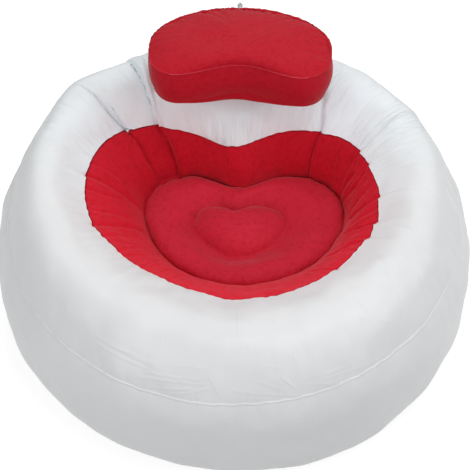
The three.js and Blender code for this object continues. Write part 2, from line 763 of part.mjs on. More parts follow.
const pillowRow = (share, heightAt, swell = 0) => pillowAngles.map((angle) => {
  const point = kidney(angle, share, swell);
  return point.setZ(heightAt(point, share));
});
const topHeight = (point, share) => highSeam + pillowTopCrown * (1 - share ** 3);
const bottomHeight = (point, share) => {
  const free = lowSeam - pillowBottomCrown * (1 - share ** 2);
  return Math.max(free, skinHeight(point) + pillowSeatClearance);
};
const pillowRowShares = [0.35, 0.62, 0.84];
const bottomRowShares = [0.86, 0.7, 0.54, 0.36, 0.18];
const lapShare = 1 - weldLap / pillowHalfDepth;
const pillowTopRows = [...pillowRowShares, lapShare, 1].map((share) => pillowRow(share, topHeight));
const pillowGroup = new THREE.Group();
chair.add(pillowGroup);
const pillowCentre = (heightAt) => {
  const point = new THREE.Vector3(pillowAside, pillowBack, 0);
  return point.setZ(heightAt(point, 0));
};
add("pillow_top_panel",
  film(pillowTopRows, flockThickness, { firstCentre: pillowCentre(topHeight) }), redFlock, pillowGroup);

// Pillow side band: bulged between its seams, flat at the back for the valve
const bandRowShares = [0.1, 0.46, 0.74, 0.97];
const bandSwellPower = 1.3;
const bandSwell = (u) => pillowBandBulge * Math.sin(Math.PI * u) ** bandSwellPower - pillowTaper * u;
const bandPoint = (angle, u) => {
  const point = kidney(angle, 1, bandSwell(u));
  const low = Math.max(lowSeam, skinHeight(point) + pillowSeatClearance);
  return point.setZ(mix(highSeam, low, u));
};
const pillowBandRows = [
  under(pillowTopRows, pillowTopRows.length - 2, flockThickness + gap),
  under(pillowTopRows, pillowTopRows.length - 1, flockThickness + gap),
  ...bandRowShares.map((u) => pillowAngles.map((angle) => bandPoint(angle, u))),
  pillowAngles.map((angle) => bandPoint(angle, 1)),
];
const upperRow = pillowBandRows[2];
const lowerRow = pillowBandRows[3];
const leftEdge = pillowAngles.indexOf(pillowEdges[1]);
const rightEdge = pillowAngles.indexOf(pillowEdges[0]);
const stemFrame = frameOn(
  upperRow[leftEdge], upperRow[rightEdge], lowerRow[rightEdge], lowerRow[leftEdge]);
pillowGroup.add(stemFrame);
const stemTubeRadius = stemRadius + gap + stemTubeWall;
const stemHole = disc(stemTubeRadius + gap, -cutOverrun, cutOverrun, holeSteps)
  .applyMatrix4(stemFrame.matrix);
add("pillow_side_band", cut(film(pillowBandRows, flockThickness), stemHole), redFlock, pillowGroup);

// Pillow bottom panel: it rests on the backrest's crown
const pillowBottomRows = [
  under(pillowBandRows, pillowBandRows.length - 2, flockThickness + gap),
  under(pillowBandRows, pillowBandRows.length - 1, flockThickness + gap),
  ...bottomRowShares.map((share) => pillowRow(share, bottomHeight, -pillowTaper)),
];
add("pillow_bottom_panel",
  film(pillowBottomRows, flockThickness, { lastCentre: pillowCentre(bottomHeight) }),
  redFlock, pillowGroup);

// Pillow valve: a collar welded on the band, a stem that pushes into it, and its plug
const stemCollarTop = gap + stemFlangeThickness + stemCollarHeight;
add("pillow_valve_collar", turned([
  [stemRadius + gap, -stemTubeDepth],
  [stemTubeRadius, -stemTubeDepth],
  [stemTubeRadius, gap],
  [stemFlangeRadius, gap],
  [stemFlangeRadius, gap + stemFlangeThickness],
  [stemCollarRadius, gap + stemFlangeThickness],
  [stemCollarRadius, stemCollarTop],
  [stemRadius + gap, stemCollarTop],
], holeSteps), clearVinyl, stemFrame);

const stemFootTop = -stemTubeDepth - gap;
const stemTab = plugHingeReach + plugBarrelRadius - stemBoreRadius - gap;
add("pillow_valve_stem", join(
  turned([
    [stemBoreRadius, stemFootTop - stemFootThickness],
    [stemFootRadius, stemFootTop - stemFootThickness],
    [stemFootRadius, stemFootTop],
    [stemRadius, stemFootTop],
    [stemRadius, stemOutside],
    [stemBoreRadius, stemOutside],
  ], holeSteps),
  block(plugBarrelLength, stemTab, stemTabThickness,
    0, stemBoreRadius + gap + stemTab / 2, stemOutside - stemTabThickness / 2),
), clearVinyl, stemFrame);

const plugLow = stemOutside + gap;
const plugStrap = plugHingeReach - plugHeadRadius + plugBarrelRadius;
const shankRadius = stemBoreRadius - plugClearance;
add("pillow_valve_plug", join(
  turned([
    [0, plugLow - gap - plugShankDepth],
    [shankRadius, plugLow - gap - plugShankDepth],
    [shankRadius, plugLow],
    [plugHeadRadius, plugLow],
    [plugHeadRadius, plugLow + plugHeadThickness],
    [0, plugLow + plugHeadThickness],
  ], holeSteps),
  block(plugBarrelLength, plugStrap, plugBarrelRadius,
    0, plugHingeReach - plugStrap / 2, plugLow + plugBarrelRadius / 2),
  barrel(plugBarrelRadius, plugBarrelLength, plugHingeReach, plugLow + plugBarrelRadius),
  block(plugBarrelLength, plugTabReach - plugHeadRadius + plugBarrelRadius, plugBarrelRadius,
    0, -(plugTabReach + plugHeadRadius - plugBarrelRadius) / 2,
    plugLow + plugHeadThickness - plugBarrelRadius / 2),
), clearVinyl, stemFrame);

export default chair;
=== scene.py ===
# Round inflatable lounge chair with a headrest pillow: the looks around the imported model.
# Lengths are metres in the model's frame: +Z is up and the chair faces -Y. Angles are degrees about the
# seat centre, 0 on the right and 90 at the back.
import math

import bpy
import numpy as np
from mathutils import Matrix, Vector
from mathutils.bvhtree import BVHTree


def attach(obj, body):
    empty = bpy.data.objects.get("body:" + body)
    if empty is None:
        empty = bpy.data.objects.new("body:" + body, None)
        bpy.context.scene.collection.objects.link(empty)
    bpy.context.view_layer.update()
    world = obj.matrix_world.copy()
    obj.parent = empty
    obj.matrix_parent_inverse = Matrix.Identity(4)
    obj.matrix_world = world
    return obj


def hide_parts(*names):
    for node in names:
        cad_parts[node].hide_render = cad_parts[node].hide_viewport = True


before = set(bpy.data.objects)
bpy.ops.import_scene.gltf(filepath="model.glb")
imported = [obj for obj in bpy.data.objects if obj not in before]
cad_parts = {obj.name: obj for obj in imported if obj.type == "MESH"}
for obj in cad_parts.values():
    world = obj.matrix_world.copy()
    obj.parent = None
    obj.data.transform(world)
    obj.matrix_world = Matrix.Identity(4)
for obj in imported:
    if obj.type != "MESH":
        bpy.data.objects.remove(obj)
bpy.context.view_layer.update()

DEGREE = math.pi / 180
FULL_TURN = 360
FRONT = -90
BACK = 90

# Camera: the photograph's view, from in front and above
CAMERA_ELEVATION = 50
CAMERA_DISTANCE = 2.867
CAMERA_TARGET = (0.0023, -0.02, 0.2252)
CAMERA_LENS = 95.2

# Chair body
BULGE_RADIUS = 0.55
BULGE_HEIGHT = 0.128
SHOULDER_RADIUS = 0.505
SHOULDER_HEIGHT = 0.297
SHOULDER_BACK_RISE = 0.034
BASE_WELD_RADIUS = 0.508
BASE_WELD_HEIGHT = 0.02
CONTACT_INSET = 0.056
CROWN_RADIUS = 0.43
RIM_RADIUS = 0.328
FLOOR_RADIUS = 0.244
FLOOR_HEIGHT = 0.205
FLOOR_ASIDE = 0.018
BEAN_RADIUS = 0.112
BEAN_ASIDE = 0.012
SEAT_BACK = 0.02
SHOULDER_FORWARD = 0.02
FLOOR_CROWN = 0.014
BEAN_VALLEY_DEPTH = 0.012

# Films
FILM = 0.0006
FLOCK = 0.001
GAP = 0.0003
WELD_LAP = 0.01
TUCK_REACH = 3
BAND_INSET = 0.022
VENT_RADIUS = 0.022
HOLE_LENGTH = 0.08
HOLE_CORNERS = 40
SEAT_VENTS = 6
CENTRE_VENTS = 4
CHAIR_FILL = 0.95
PILLOW_FILL = 0.9

# Outlines and heights from the front by the right side to the back, and the longer tables on by the left
# side, as (angle, share), (angle, height) or (angle, reach added)
RIM_SHARES = [
    (-90, 0.981), (-70, 0.986), (-45, 0.99), (-20, 1.004), (-5, 0.985), (10, 0.955), (20, 0.935),
    (30, 0.895), (40, 0.802), (50, 0.712), (60, 0.592), (70, 0.482), (80, 0.418), (90, 0.4),
    (100, 0.418), (110, 0.49), (120, 0.6), (130, 0.735), (140, 0.872), (150, 0.975), (160, 1.015),
    (180, 1.02), (200, 1.006), (215, 0.965), (235, 0.937), (255, 0.948),
]
FLOOR_SHARES = [
    (-90, 0.725), (-57, 0.742), (-35, 0.809), (-18, 0.879), (-2, 0.955), (10, 1), (21, 1.015),
    (33, 0.966), (44, 0.86), (52, 0.765), (60, 0.64), (68, 0.535), (79, 0.47), (90, 0.485),
    (98, 0.54), (107, 0.625), (117, 0.745), (126, 0.845), (139, 0.95), (151, 0.992), (163, 0.974),
    (178, 0.912), (197, 0.851), (216, 0.798), (240, 0.755),
]
BEAN_SHARES = [
    (-90, 0.82), (-50, 0.82), (-31, 0.835), (5, 1), (20, 0.99), (37, 0.87), (52, 0.66), (62, 0.48),
    (71, 0.39), (85, 0.38), (100, 0.43), (115, 0.62), (135, 0.86), (155, 0.99), (174, 0.985),
    (200, 0.88), (227, 0.8), (250, 0.81),
]
BACK_SHIFTS = [
    (-90, 0), (-30, 0), (-5, 0.003), (8, 0.009), (20, 0), (30, -0.010), (38, -0.012), (55, -0.015),
    (75, -0.006), (90, 0), (105, -0.006), (122, -0.017), (130, -0.015), (138, -0.012), (146, 0),
    (160, 0.007), (172, 0.009), (185, 0.003), (200, 0),
]
FRONT_SHIFTS = [
    (-90, 0.006), (-65, 0.019), (-45, 0.019), (-25, 0.009), (0, 0), (90, 0), (180, 0), (250, 0),
]
CROWN_SHIFT_SHARE = 0.7
CROWN_SHARES = [(-90, 1), (0, 1), (35, 0.97), (60, 0.84), (90, 0.76)]
CROWN_HEIGHTS = [(-90, 0.386), (-10, 0.398), (25, 0.418), (58, 0.462), (90, 0.478)]
RIM_HEIGHTS = [(-90, 0.352), (10, 0.352), (90, 0.34)]
RIM_SLOPES = [(-90, 24), (0, 32), (40, 52), (90, 62)]

# Corners of the ring, as (angle, reach, half angle)
CORNERS = [(23, 0.012, 9), (147, 0.021, 22)]

# Handle lengths of the section's curves, as shares of the span, and slopes in degrees
BULGE_SWELL_SHARE = 0.8
WALL_SWELL_SHARE = 0.1
INNER_HANDLE_SHARES = (0.34, 0.4)
OUTER_HANDLE_SHARES = (0.5, 0.4)
UPPER_HANDLE_SHARES = (0.35, 0.45)
LOWER_HANDLE_SHARES = (0.5, 0.4)
SHOULDER_DROP = 62
BASE_SLOPE = 38
BASE_POWER = 1.5

# Faceting: stations round the skin, and how the rows lie in its stretches
STATIONS = 1200
INSIDE_STRIDE = 3
INSIDE_EDGE_ROWS = 10
CENTRE_SHARE = 0.04
EASE_SHARE = 0.35
FAN_START = 0.4
WELD_ROWS = (0.0011, 0.0023, 0.0037, 0.0056, 0.008)
CLOSEST_ROWS = 0.0005
CROWDING = [
    (-90, 1.25), (-60, 1.2), (-30, 0.9), (5, 1), (20, 1.9), (30, 1.2), (45, 1.3), (65, 0.75), (90, 0.7),
    (112, 0.8), (131, 1.8), (148, 1.8), (162, 1), (200, 0.85), (235, 1.15),
]


def apart(a, b):
    """How far two angles lie apart, in degrees."""
    turned = np.mod(np.asarray(a) - b, FULL_TURN)
    return np.minimum(turned, FULL_TURN - turned)


def signed(a, b):
    """How far angle a lies past angle b, from -180 to 180."""
    return np.mod(np.asarray(a) - b + FULL_TURN / 2, FULL_TURN) - FULL_TURN / 2


def around(table, angle):
    """A smooth value round the chair from such a table. A table that ends at the back is mirrored to the
    other side, and a longer one goes the whole turn."""
    places, values = np.array(table, float).T
    whole = places[-1] > BACK
    if whole:
        places = np.append(places, places[0] + FULL_TURN)
        values = np.append(values, values[0])
    slopes = np.zeros(len(values))
    slopes[1:-1] = (values[2:] - values[:-2]) / (places[2:] - places[:-2])
    if whole:
        span = places[1] - places[0] + places[-1] - places[-2]
        slopes[[0, -1]] = (values[1] - values[-2]) / span
    at = FRONT + (np.mod(np.asarray(angle) - FRONT, FULL_TURN) if whole else apart(angle, FRONT))
    i = np.clip(np.searchsorted(places, at, side="right") - 1, 0, len(places) - 2)
    span = places[i + 1] - places[i]
    u = (at - places[i]) / span
    rise = u * u * (3 - 2 * u)
    start = u * (1 - u) ** 2 * span * slopes[i]
    end = u * u * (1 - u) * span * slopes[i + 1]
    return values[i] + (values[i + 1] - values[i]) * rise + start - end


def circle_reach(radius, forward, angle):
    """Reach from the seat centre to a circle whose centre lies forward of it."""
    along = -forward * np.sin(angle * DEGREE)
    across = forward * np.cos(angle * DEGREE)
    return along + np.sqrt(radius * radius - across * across)


def smooth(low, high, value):
    """0 below low, 1 above high, and smooth between."""
    t = np.clip((value - low) / (high - low), 0, 1)
    return t * t * (3 - 2 * t)


def travel(angle, reach):
    """How far along a closed weld line each of its points lies, as an angle of a full turn."""
    x = reach * np.cos(angle * DEGREE)
    y = reach * np.sin(angle * DEGREE)
    run = np.hypot(np.diff(x, append=x[0]), np.diff(y, append=y[0]))
    return FULL_TURN * np.concatenate([[0], np.cumsum(run)[:-1]]) / run.sum()


def ring_noise(phase, slowest, fastest, seed):
    """A random smooth value along a closed line, about 1 in size, with waves of these counts a turn."""
    rng = np.random.default_rng(seed)
    counts = np.arange(slowest, fastest + 1)
    phases = rng.uniform(0, 2 * math.pi, len(counts))
    sizes = rng.normal(0, 1, len(counts))
    waves = sizes[:, None] * np.cos(counts[:, None] * phase[None] * DEGREE + phases[:, None])
    return waves.sum(0) * math.sqrt(2 / len(counts))


def space_noise(points, wavelength, seed, waves=48):
    """A random smooth value in space, about 1 in size, with features of about this wavelength."""
    rng = np.random.default_rng(seed)
    ways = rng.normal(0, 1, (waves, 3))
    ways /= np.linalg.norm(ways, axis=1)[:, None]
    speeds = 2 * math.pi / wavelength * rng.uniform(0.6, 1.5, waves)
    phases = rng.uniform(0, 2 * math.pi, waves)
    total = np.zeros(points.shape[:-1])
    for way, speed, phase in zip(ways, speeds, phases):
        total += np.cos(points @ (way * speed) + phase)
    return total * math.sqrt(2 / waves)


# Folds where the ring buckles behind the arms: the angles that each runs through at these places, the side
# of its long slope (1 at larger angles), depth, near and far width, lip, shift, and the places that its line
# of painted shade runs between
FOLD_PLACES = (0, 1, 1.5, 2, 3)
FOLDS = [
    ((19, 19.9, 20.8, 22.6, 24), 1, 0.008, 0.0018, 0.012, 0.002, 0.002, (0.1, 1.0)),
    ((40, 40, 46, 53, 54.5), 1, 0.011, 0.0018, 0.007, 0.001, 0.001, (0.0, 1.0)),
    ((130.9, 133.7, 132, 129.6, 127), 1, 0.026, 0.0030, 0.036, 0.003, 0.003, (0.05, 2.1)),
    ((130.5, 132.5, 129.6, 125.4, 122), -1, 0.009, 0.0025, 0.009, 0.001, 0.0, None),
    ((143.2, 146.3, 147.9, 147.8, 147), -1, 0.014, 0.0022, 0.022, 0.002, 0.003, (0.05, 1.7)),
]
FOLD_STRENGTHS = [
    (-0.2, 0), (0, 0.4), (0.4, 0.8), (1, 1), (1.6, 1), (1.9, 0.7), (2.15, 0.28), (2.4, 0.08), (2.7, 0),
]
LINE_HALF_WIDTH = 0.0008
LIP_WIDTH = 0.012


def stations():
    """Angles round the chair, closer together at the folds."""
    fine = np.linspace(0, FULL_TURN, 8 * STATIONS, endpoint=False)
    filled = np.concatenate([[0], np.cumsum(around(CROWDING, fine))])
    wanted = np.linspace(0, filled[-1], STATIONS, endpoint=False)
    return np.interp(wanted, filled, np.append(fine, FULL_TURN))


def eased(count, first=0.0, last=1.0):
    """Shares from first to last that crowd towards both ends."""
    t = np.linspace(0, 1, count)
    u = t * (1 - EASE_SHARE) + EASE_SHARE * (1 - np.cos(math.pi * t)) / 2
    return first + (last - first) * u


def merged(shares, length):
    """Lists of shares in one sorted row, without those that lie close before the next one."""
    shares = np.unique(np.concatenate(shares))
    kept = np.append(np.diff(shares) * length > CLOSEST_ROWS, True)
    kept[0] = True
    return shares[kept]


def welded(count, length, first, last):
    """Such shares with extra rows beside the weld lines at the ends that have one."""
    near = np.array(WELD_ROWS) / length
    shares = [eased(count)]
    if first:
        shares.append(near)
    if last:
        shares.append(1 - near)
    return merged(shares, length)


def handled(start, end, first, second, u):
    """A curve from one key point to another, by a handle from each."""
    v = 1 - u
    return [
        v ** 3 * start[k] + 3 * v * v * u * (start[k] + first[k]) + 3 * v * u * u * (end[k] + second[k])
        + u ** 3 * end[k] for k in (0, 1)
    ]


# Small unevenness of the weld lines
RIM_WAVER = 0.0005
FLOOR_WAVER = 0.0010
SHOULDER_WAVER = 0.0010

# The rim steps sideways where pleats cross it, as (angle, step)
RIM_STEPS = [
    (20.1, 0.003), (40, 0.001), (133.5, 0.001), (146, 0.003), (-6.1, 0.0035), (-19.5, 0.004),
    (-28.1, 0.004), (-47.8, 0.002), (12, 0.002),
]
RIM_STEP_ANGLE = 0.4
RIM_STEP_REACH = 7


def rim_steps(angle):
    total = np.zeros(len(angle))
    for at, size in RIM_STEPS:
        past = signed(angle, at)
        total += size * np.tanh(past / RIM_STEP_ANGLE) * np.exp(-np.abs(past) / RIM_STEP_REACH)
    return total


def keys(angle):
    """The key points of the upright section at each angle, as [reach from the seat centre, height]."""
    swell = sum(reach * np.exp(-apart(angle, at) / half) for at, reach, half in CORNERS)
    backness = np.maximum(0, np.sin(angle * DEGREE))
    side = np.cos(angle * DEGREE)
    bean = BEAN_RADIUS * around(BEAN_SHARES, angle) + BEAN_ASIDE * side
    floor = FLOOR_RADIUS * around(FLOOR_SHARES, angle) + FLOOR_ASIDE * side
    rim = RIM_RADIUS * around(RIM_SHARES, angle)
    back_shift = around(BACK_SHIFTS, angle)
    front_shift = around(FRONT_SHIFTS, angle)
    shoulder = circle_reach(SHOULDER_RADIUS, SEAT_BACK + SHOULDER_FORWARD, angle) + swell + back_shift
    rim_phase = travel(angle, rim)
    rim_waver = RIM_WAVER * ring_noise(rim_phase, 40, 130, 11) + rim_steps(angle)
    floor_waver = FLOOR_WAVER * ring_noise(travel(angle, floor), 8, 30, 12)
    shoulder_waver = SHOULDER_WAVER * ring_noise(travel(angle, shoulder), 20, 90, 13)
    bean_waver = FLOOR_WAVER * ring_noise(travel(angle, bean), 4, 14, 14)
    return {
        "bean": [bean + bean_waver, None],
        "floor": [floor + floor_waver, FLOOR_HEIGHT + 0.5 * floor_waver],
        "rim": [rim + rim_waver,
                around(RIM_HEIGHTS, angle) + RIM_WAVER * ring_noise(rim_phase, 16, 70, 15)],
        "crown": [CROWN_RADIUS * around(CROWN_SHARES, angle) + CROWN_SHIFT_SHARE * back_shift,
                  around(CROWN_HEIGHTS, angle) + swell],
        "shoulder": [shoulder,
                     SHOULDER_HEIGHT + SHOULDER_BACK_RISE * backness + shoulder_waver],
        "bulge": [circle_reach(BULGE_RADIUS, SEAT_BACK, angle)
                  + swell * BULGE_SWELL_SHARE * np.sqrt(backness), BULGE_HEIGHT + 0 * angle],
        "base": [circle_reach(BASE_WELD_RADIUS, SEAT_BACK, angle) + front_shift,
                 BASE_WELD_HEIGHT + 0 * angle],
        "contact": [circle_reach(BASE_WELD_RADIUS - CONTACT_INSET, SEAT_BACK, angle) + front_shift,
                    0 * angle],
    }


# The cushions of the floor: full at the outer weld, and falling softly to the valley round the bean
BEAN_POWER = 2.7
RING_TOP = 0.62
RING_POWER = 2.3
FLOOR_FULLNESS = 0.021
BEAN_FULLNESS = 0.037
VALLEY_HEIGHT = FLOOR_HEIGHT + FLOOR_CROWN - BEAN_VALLEY_DEPTH


def bean_curve(k, u):
    """Inside the bean weld, from near the centre out."""
    return [k["bean"][0] * u, VALLEY_HEIGHT + BEAN_FULLNESS * (1 - u ** BEAN_POWER) + 0 * k["bean"][0]]


def floor_curve(k, u):
    """From the bean weld out to the floor's edge weld."""
    reach = k["bean"][0] + (k["floor"][0] - k["bean"][0]) * u
    base = VALLEY_HEIGHT + (k["floor"][1] - VALLEY_HEIGHT) * u
    rise = (1 - np.cos(math.pi * np.minimum(u / RING_TOP, 1))) / 2
    fall = np.sqrt(1 - np.clip((u - RING_TOP) / (1 - RING_TOP), 0, 1) ** RING_POWER)
    return [reach, base + FLOOR_FULLNESS * rise * fall]


def wall_curve(k, u):
    """Seat wall, from the floor weld up to the rim."""
    floor, rim = k["floor"], k["rim"]
    run = rim[0] - floor[0]
    rise = rim[1] - floor[1]
    swell = [-rise * WALL_SWELL_SHARE, run * WALL_SWELL_SHARE]
    first = [run / 3 + swell[0], rise / 3 + swell[1]]
    return handled(floor, rim, first, [swell[0] - run / 3, swell[1] - rise / 3], u)


def inner_curve(k, u):
    """Inner face of the ring, from the rim up to the crown."""
    rim, crown = k["rim"], k["crown"]
    reach = np.hypot(crown[0] - rim[0], crown[1] - rim[1])
    slope = k["slope"] * DEGREE
    out = INNER_HANDLE_SHARES[0] * reach
    first = [out * np.cos(slope), out * np.sin(slope)]
    return handled(rim, crown, first, [-INNER_HANDLE_SHARES[1] * reach, 0], u)


def outer_curve(k, u):
    """Outer face of the ring, from the crown down to the shoulder weld."""
    crown, shoulder = k["crown"], k["shoulder"]
    first = [OUTER_HANDLE_SHARES[0] * (shoulder[0] - crown[0]), 0]
    handle = OUTER_HANDLE_SHARES[1] * (crown[1] - shoulder[1])
    return handled(crown, shoulder, first, [-handle / math.tan(SHOULDER_DROP * DEGREE), handle], u)


def upper_curve(k, u):
    """Side wall, from the shoulder weld down to the bulge."""
    shoulder, bulge = k["shoulder"], k["bulge"]
    drop = shoulder[1] - bulge[1]
    handle = UPPER_HANDLE_SHARES[0] * drop
    first = [handle / math.tan(SHOULDER_DROP * DEGREE), -handle]
    return handled(shoulder, bulge, first, [0, UPPER_HANDLE_SHARES[1] * drop], u)


def lower_curve(k, u):
    """Side wall, from the bulge down to the base weld."""
    bulge, base = k["bulge"], k["base"]
    first = [0, -LOWER_HANDLE_SHARES[0] * (bulge[1] - base[1])]
    out = LOWER_HANDLE_SHARES[1] * (bulge[0] - base[0])
    return handled(bulge, base, first, [out, out * math.tan(BASE_SLOPE * DEGREE)], u)


def base_curve(k, u):
    """Base, from its weld in to the ring where it meets the ground."""
    base, contact = k["base"], k["contact"]
    return [base[0] + (contact[0] - base[0]) * u, base[1] * (1 - u) ** BASE_POWER + contact[1]]


# The whole skin is one grid of rows. Places count its stretches: -2 centre, -1 bean weld, 0 floor weld,
# 1 rim, 2 crown, 3 shoulder weld, 4 bulge, 5 base weld, 6 ground. Each stretch has its start, its curve, its
# rows, about how long it is, and whether a weld lies at its start and at its end. The one inside the bean
# weld comes before the table's.
STRETCHES = [
    (-1, floor_curve, 34, 0.12, False, True),
    (0, wall_curve, 46, 0.17, True, True),
    (1, inner_curve, 19, 0.14, True, False),
    (2, outer_curve, 30, 0.16, False, True),
    (3, upper_curve, 26, 0.19, True, False),
    (4, lower_curve, 18, 0.13, False, True),
    (5, base_curve, 6, 0.1, False, False),
]
BEAN_ROWS = 16
CROWN_ROWS = 9
angles = stations()
section = keys(angles)
section["slope"] = around(RIM_SLOPES, angles)
shares = eased(BEAN_ROWS, CENTRE_SHARE, 1)
parts = [bean_curve(section, shares[:, None])]
places = [shares - 2]
for start, curve, count, length, *welds in STRETCHES:
    shares = welded(count, length, *welds)
    if curve is outer_curve:
        shares = merged([np.linspace(0, FAN_START, CROWN_ROWS), np.linspace(FAN_START, 1, count),
                         1 - np.array(WELD_ROWS) / length], length)
    parts.append(curve(section, shares[1:, None]))
    places.append(start + shares[1:])
places = np.concatenate(places)
reaches = np.concatenate([reach for reach, height in parts])
heights = np.concatenate([np.broadcast_to(height, reach.shape) for reach, height in parts])


def row_of(place):
    return int(np.argmin(np.abs(places - place)))


def normals_of(points):
    """Normals of a closed grid of rows, out of the skin."""
    along = np.roll(points, -1, axis=1) - np.roll(points, 1, axis=1)
    out = np.cross(np.gradient(points, axis=0), along)
    return out / np.maximum(np.linalg.norm(out, axis=2), 1e-12)[:, :, None]


def lengths_down(points):
    """How far along its column each point of a grid lies."""
    steps = np.linalg.norm(np.diff(points, axis=0), axis=2)
    return np.concatenate([np.zeros((1, points.shape[1])), np.cumsum(steps, axis=0)])


skin = np.stack([
    reaches * np.cos(angles * DEGREE),
    SEAT_BACK + reaches * np.sin(angles * DEGREE),
    heights,
], axis=-1)
lengths = lengths_down(skin)
push = np.zeros(reaches.shape)
slide = np.zeros(reaches.shape)
# Faces that take painted shade: dark lines along the deepest creases
painted_crease_shade = np.zeros(reaches.shape, bool)

# Welds: a soft valley with a narrow raised bead in it, as (place, depth, width, bead height, bead width)
WELDS = [
    (3, 0.0022, 0.009, 0.0022, 0.0019),
    (5, 0.0020, 0.010, 0.0012, 0.0020),
    (1, 0.0010, 0.005, 0.0010, 0.0014),
    (0, 0.0018, 0.007, 0.0, 0.001),
    (-1, 0.0065, 0.008, 0.0, 0.001),
]


def weld_profile(away, depth, width, bead, bead_width):
    """The height of the film beside a weld."""
    return bead * np.exp(-((away / bead_width) ** 2)) - depth * np.exp(-np.abs(away) / width)


for place, *profile in WELDS:
    push += weld_profile(lengths - lengths[row_of(place)], *profile)

# Folds: a steep near side, a long far side, and a lip that leans over the crease
fold_strength = np.interp(places, *zip(*FOLD_STRENGTHS))[:, None]
for path, side, depth, near, far, lip, shift, dark in FOLDS:
    line = np.interp(places, FOLD_PLACES, path)[:, None]
    past = signed(angles[None], line) * DEGREE * reaches * side
    away = np.abs(past)
    crease = -depth * np.exp(-away / np.where(past < 0, near, far))
    bulge = lip * np.exp(-(((past + LIP_WIDTH) / LIP_WIDTH) ** 2))
    push += fold_strength * (crease + bulge)
    slide += fold_strength * side * (shift * np.exp(-np.abs(past + near) / LIP_WIDTH))
    # Painted shade: a dark line along the fold's crease
    if dark:
        nearest = away <= away.min(1)[:, None]
        painted_crease_shade |= nearest & ((places > dark[0]) & (places < dark[1]))[:, None]

# Puckers beside the welds: place, how many, depths before and after the weld, width, lengths before and
# after, seed
PUCKERS = [
    (-1, 30, 0.0004, 0.0008, 0.0060, 0.010, 0.020, 21),
    (0, 60, 0.0006, 0.0014, 0.0070, 0.010, 0.026, 22),
    (1, 90, 0.0011, 0.0010, 0.0060, 0.030, 0.016, 23),
    (3, 170, 0.0012, 0.0012, 0.0050, 0.018, 0.016, 24),
    (5, 150, 0.0018, 0.0010, 0.0070, 0.016, 0.012, 25),
]
# Ranges of a pucker's place in its own stretch, size, width, lengths and skew, by chance
PUCKER_PLACES = (0.05, 0.95)
PUCKER_SIZES = (0.1, 1.25)
PUCKER_WIDTHS = (0.7, 1.6)
PUCKER_LENGTHS = (0.5, 2.4)
PUCKER_SKEW = 0.22
PUCKER_EDGE = 0.003
PUCKER_SPREAD = 0.03
PUCKER_REACH = 5
PUCKER_ANGLE = 22


def pucker(depth, far, across, width, fade):
    """A furrow that starts beside a weld, and widens and fades on its way from it."""
    valley = 1 / (1 + (across / (width * (1 + far / PUCKER_SPREAD))) ** 2) ** 1.5
    return depth * valley * np.exp(-fade) * (1 - np.exp(-far / PUCKER_EDGE))


for place, count, before, after, width, length_before, length_after, seed in PUCKERS:
    rng = np.random.default_rng(seed)
    weld = row_of(place)
    away = lengths - lengths[weld]
    phase = travel(angles, reaches[weld])
    spread_out = (np.arange(count) + rng.uniform(*PUCKER_PLACES, count)) * FULL_TURN / count
    at = np.interp(spread_out, np.append(phase, FULL_TURN), np.append(angles, FULL_TURN))
    shares = rng.uniform(*PUCKER_SIZES, count) ** 1.5
    widths = width * rng.uniform(*PUCKER_WIDTHS, count)
    longs = rng.uniform(*PUCKER_LENGTHS, (2, count))
    skews = rng.normal(0, PUCKER_SKEW, count)
    for i in range(count):
        reach_before = length_before * longs[0, i]
        reach_after = length_after * longs[1, i]
        rows = np.where((away.min(1) < PUCKER_REACH * reach_after)
                        & (away.max(1) > -PUCKER_REACH * reach_before))[0]
        cols = np.where(apart(angles, at[i]) < PUCKER_ANGLE)[0]
        grid = np.ix_(rows, cols)
        past = away[grid]
        far = np.abs(past)
        fade = far / np.where(past < 0, reach_before, reach_after)
        depth = np.where(past < 0, before, after) * shares[i]
        across = signed(angles[cols], at[i])[None] * DEGREE * reaches[grid] - skews[i] * far
        push[grid] -= pucker(depth, far, across, widths[i], fade)


def skin_point(angle, place):
    """The skin's point at an angle and a place of its section."""
    j = np.clip(np.interp(place, places, np.arange(len(places))), 0, len(places) - 1.001)
    i = int(np.interp(np.mod(angle, FULL_TURN), angles, np.arange(STATIONS)))
    row = int(j)
    return skin[row, i] * (1 - (j - row)) + skin[row + 1, i] * (j - row)
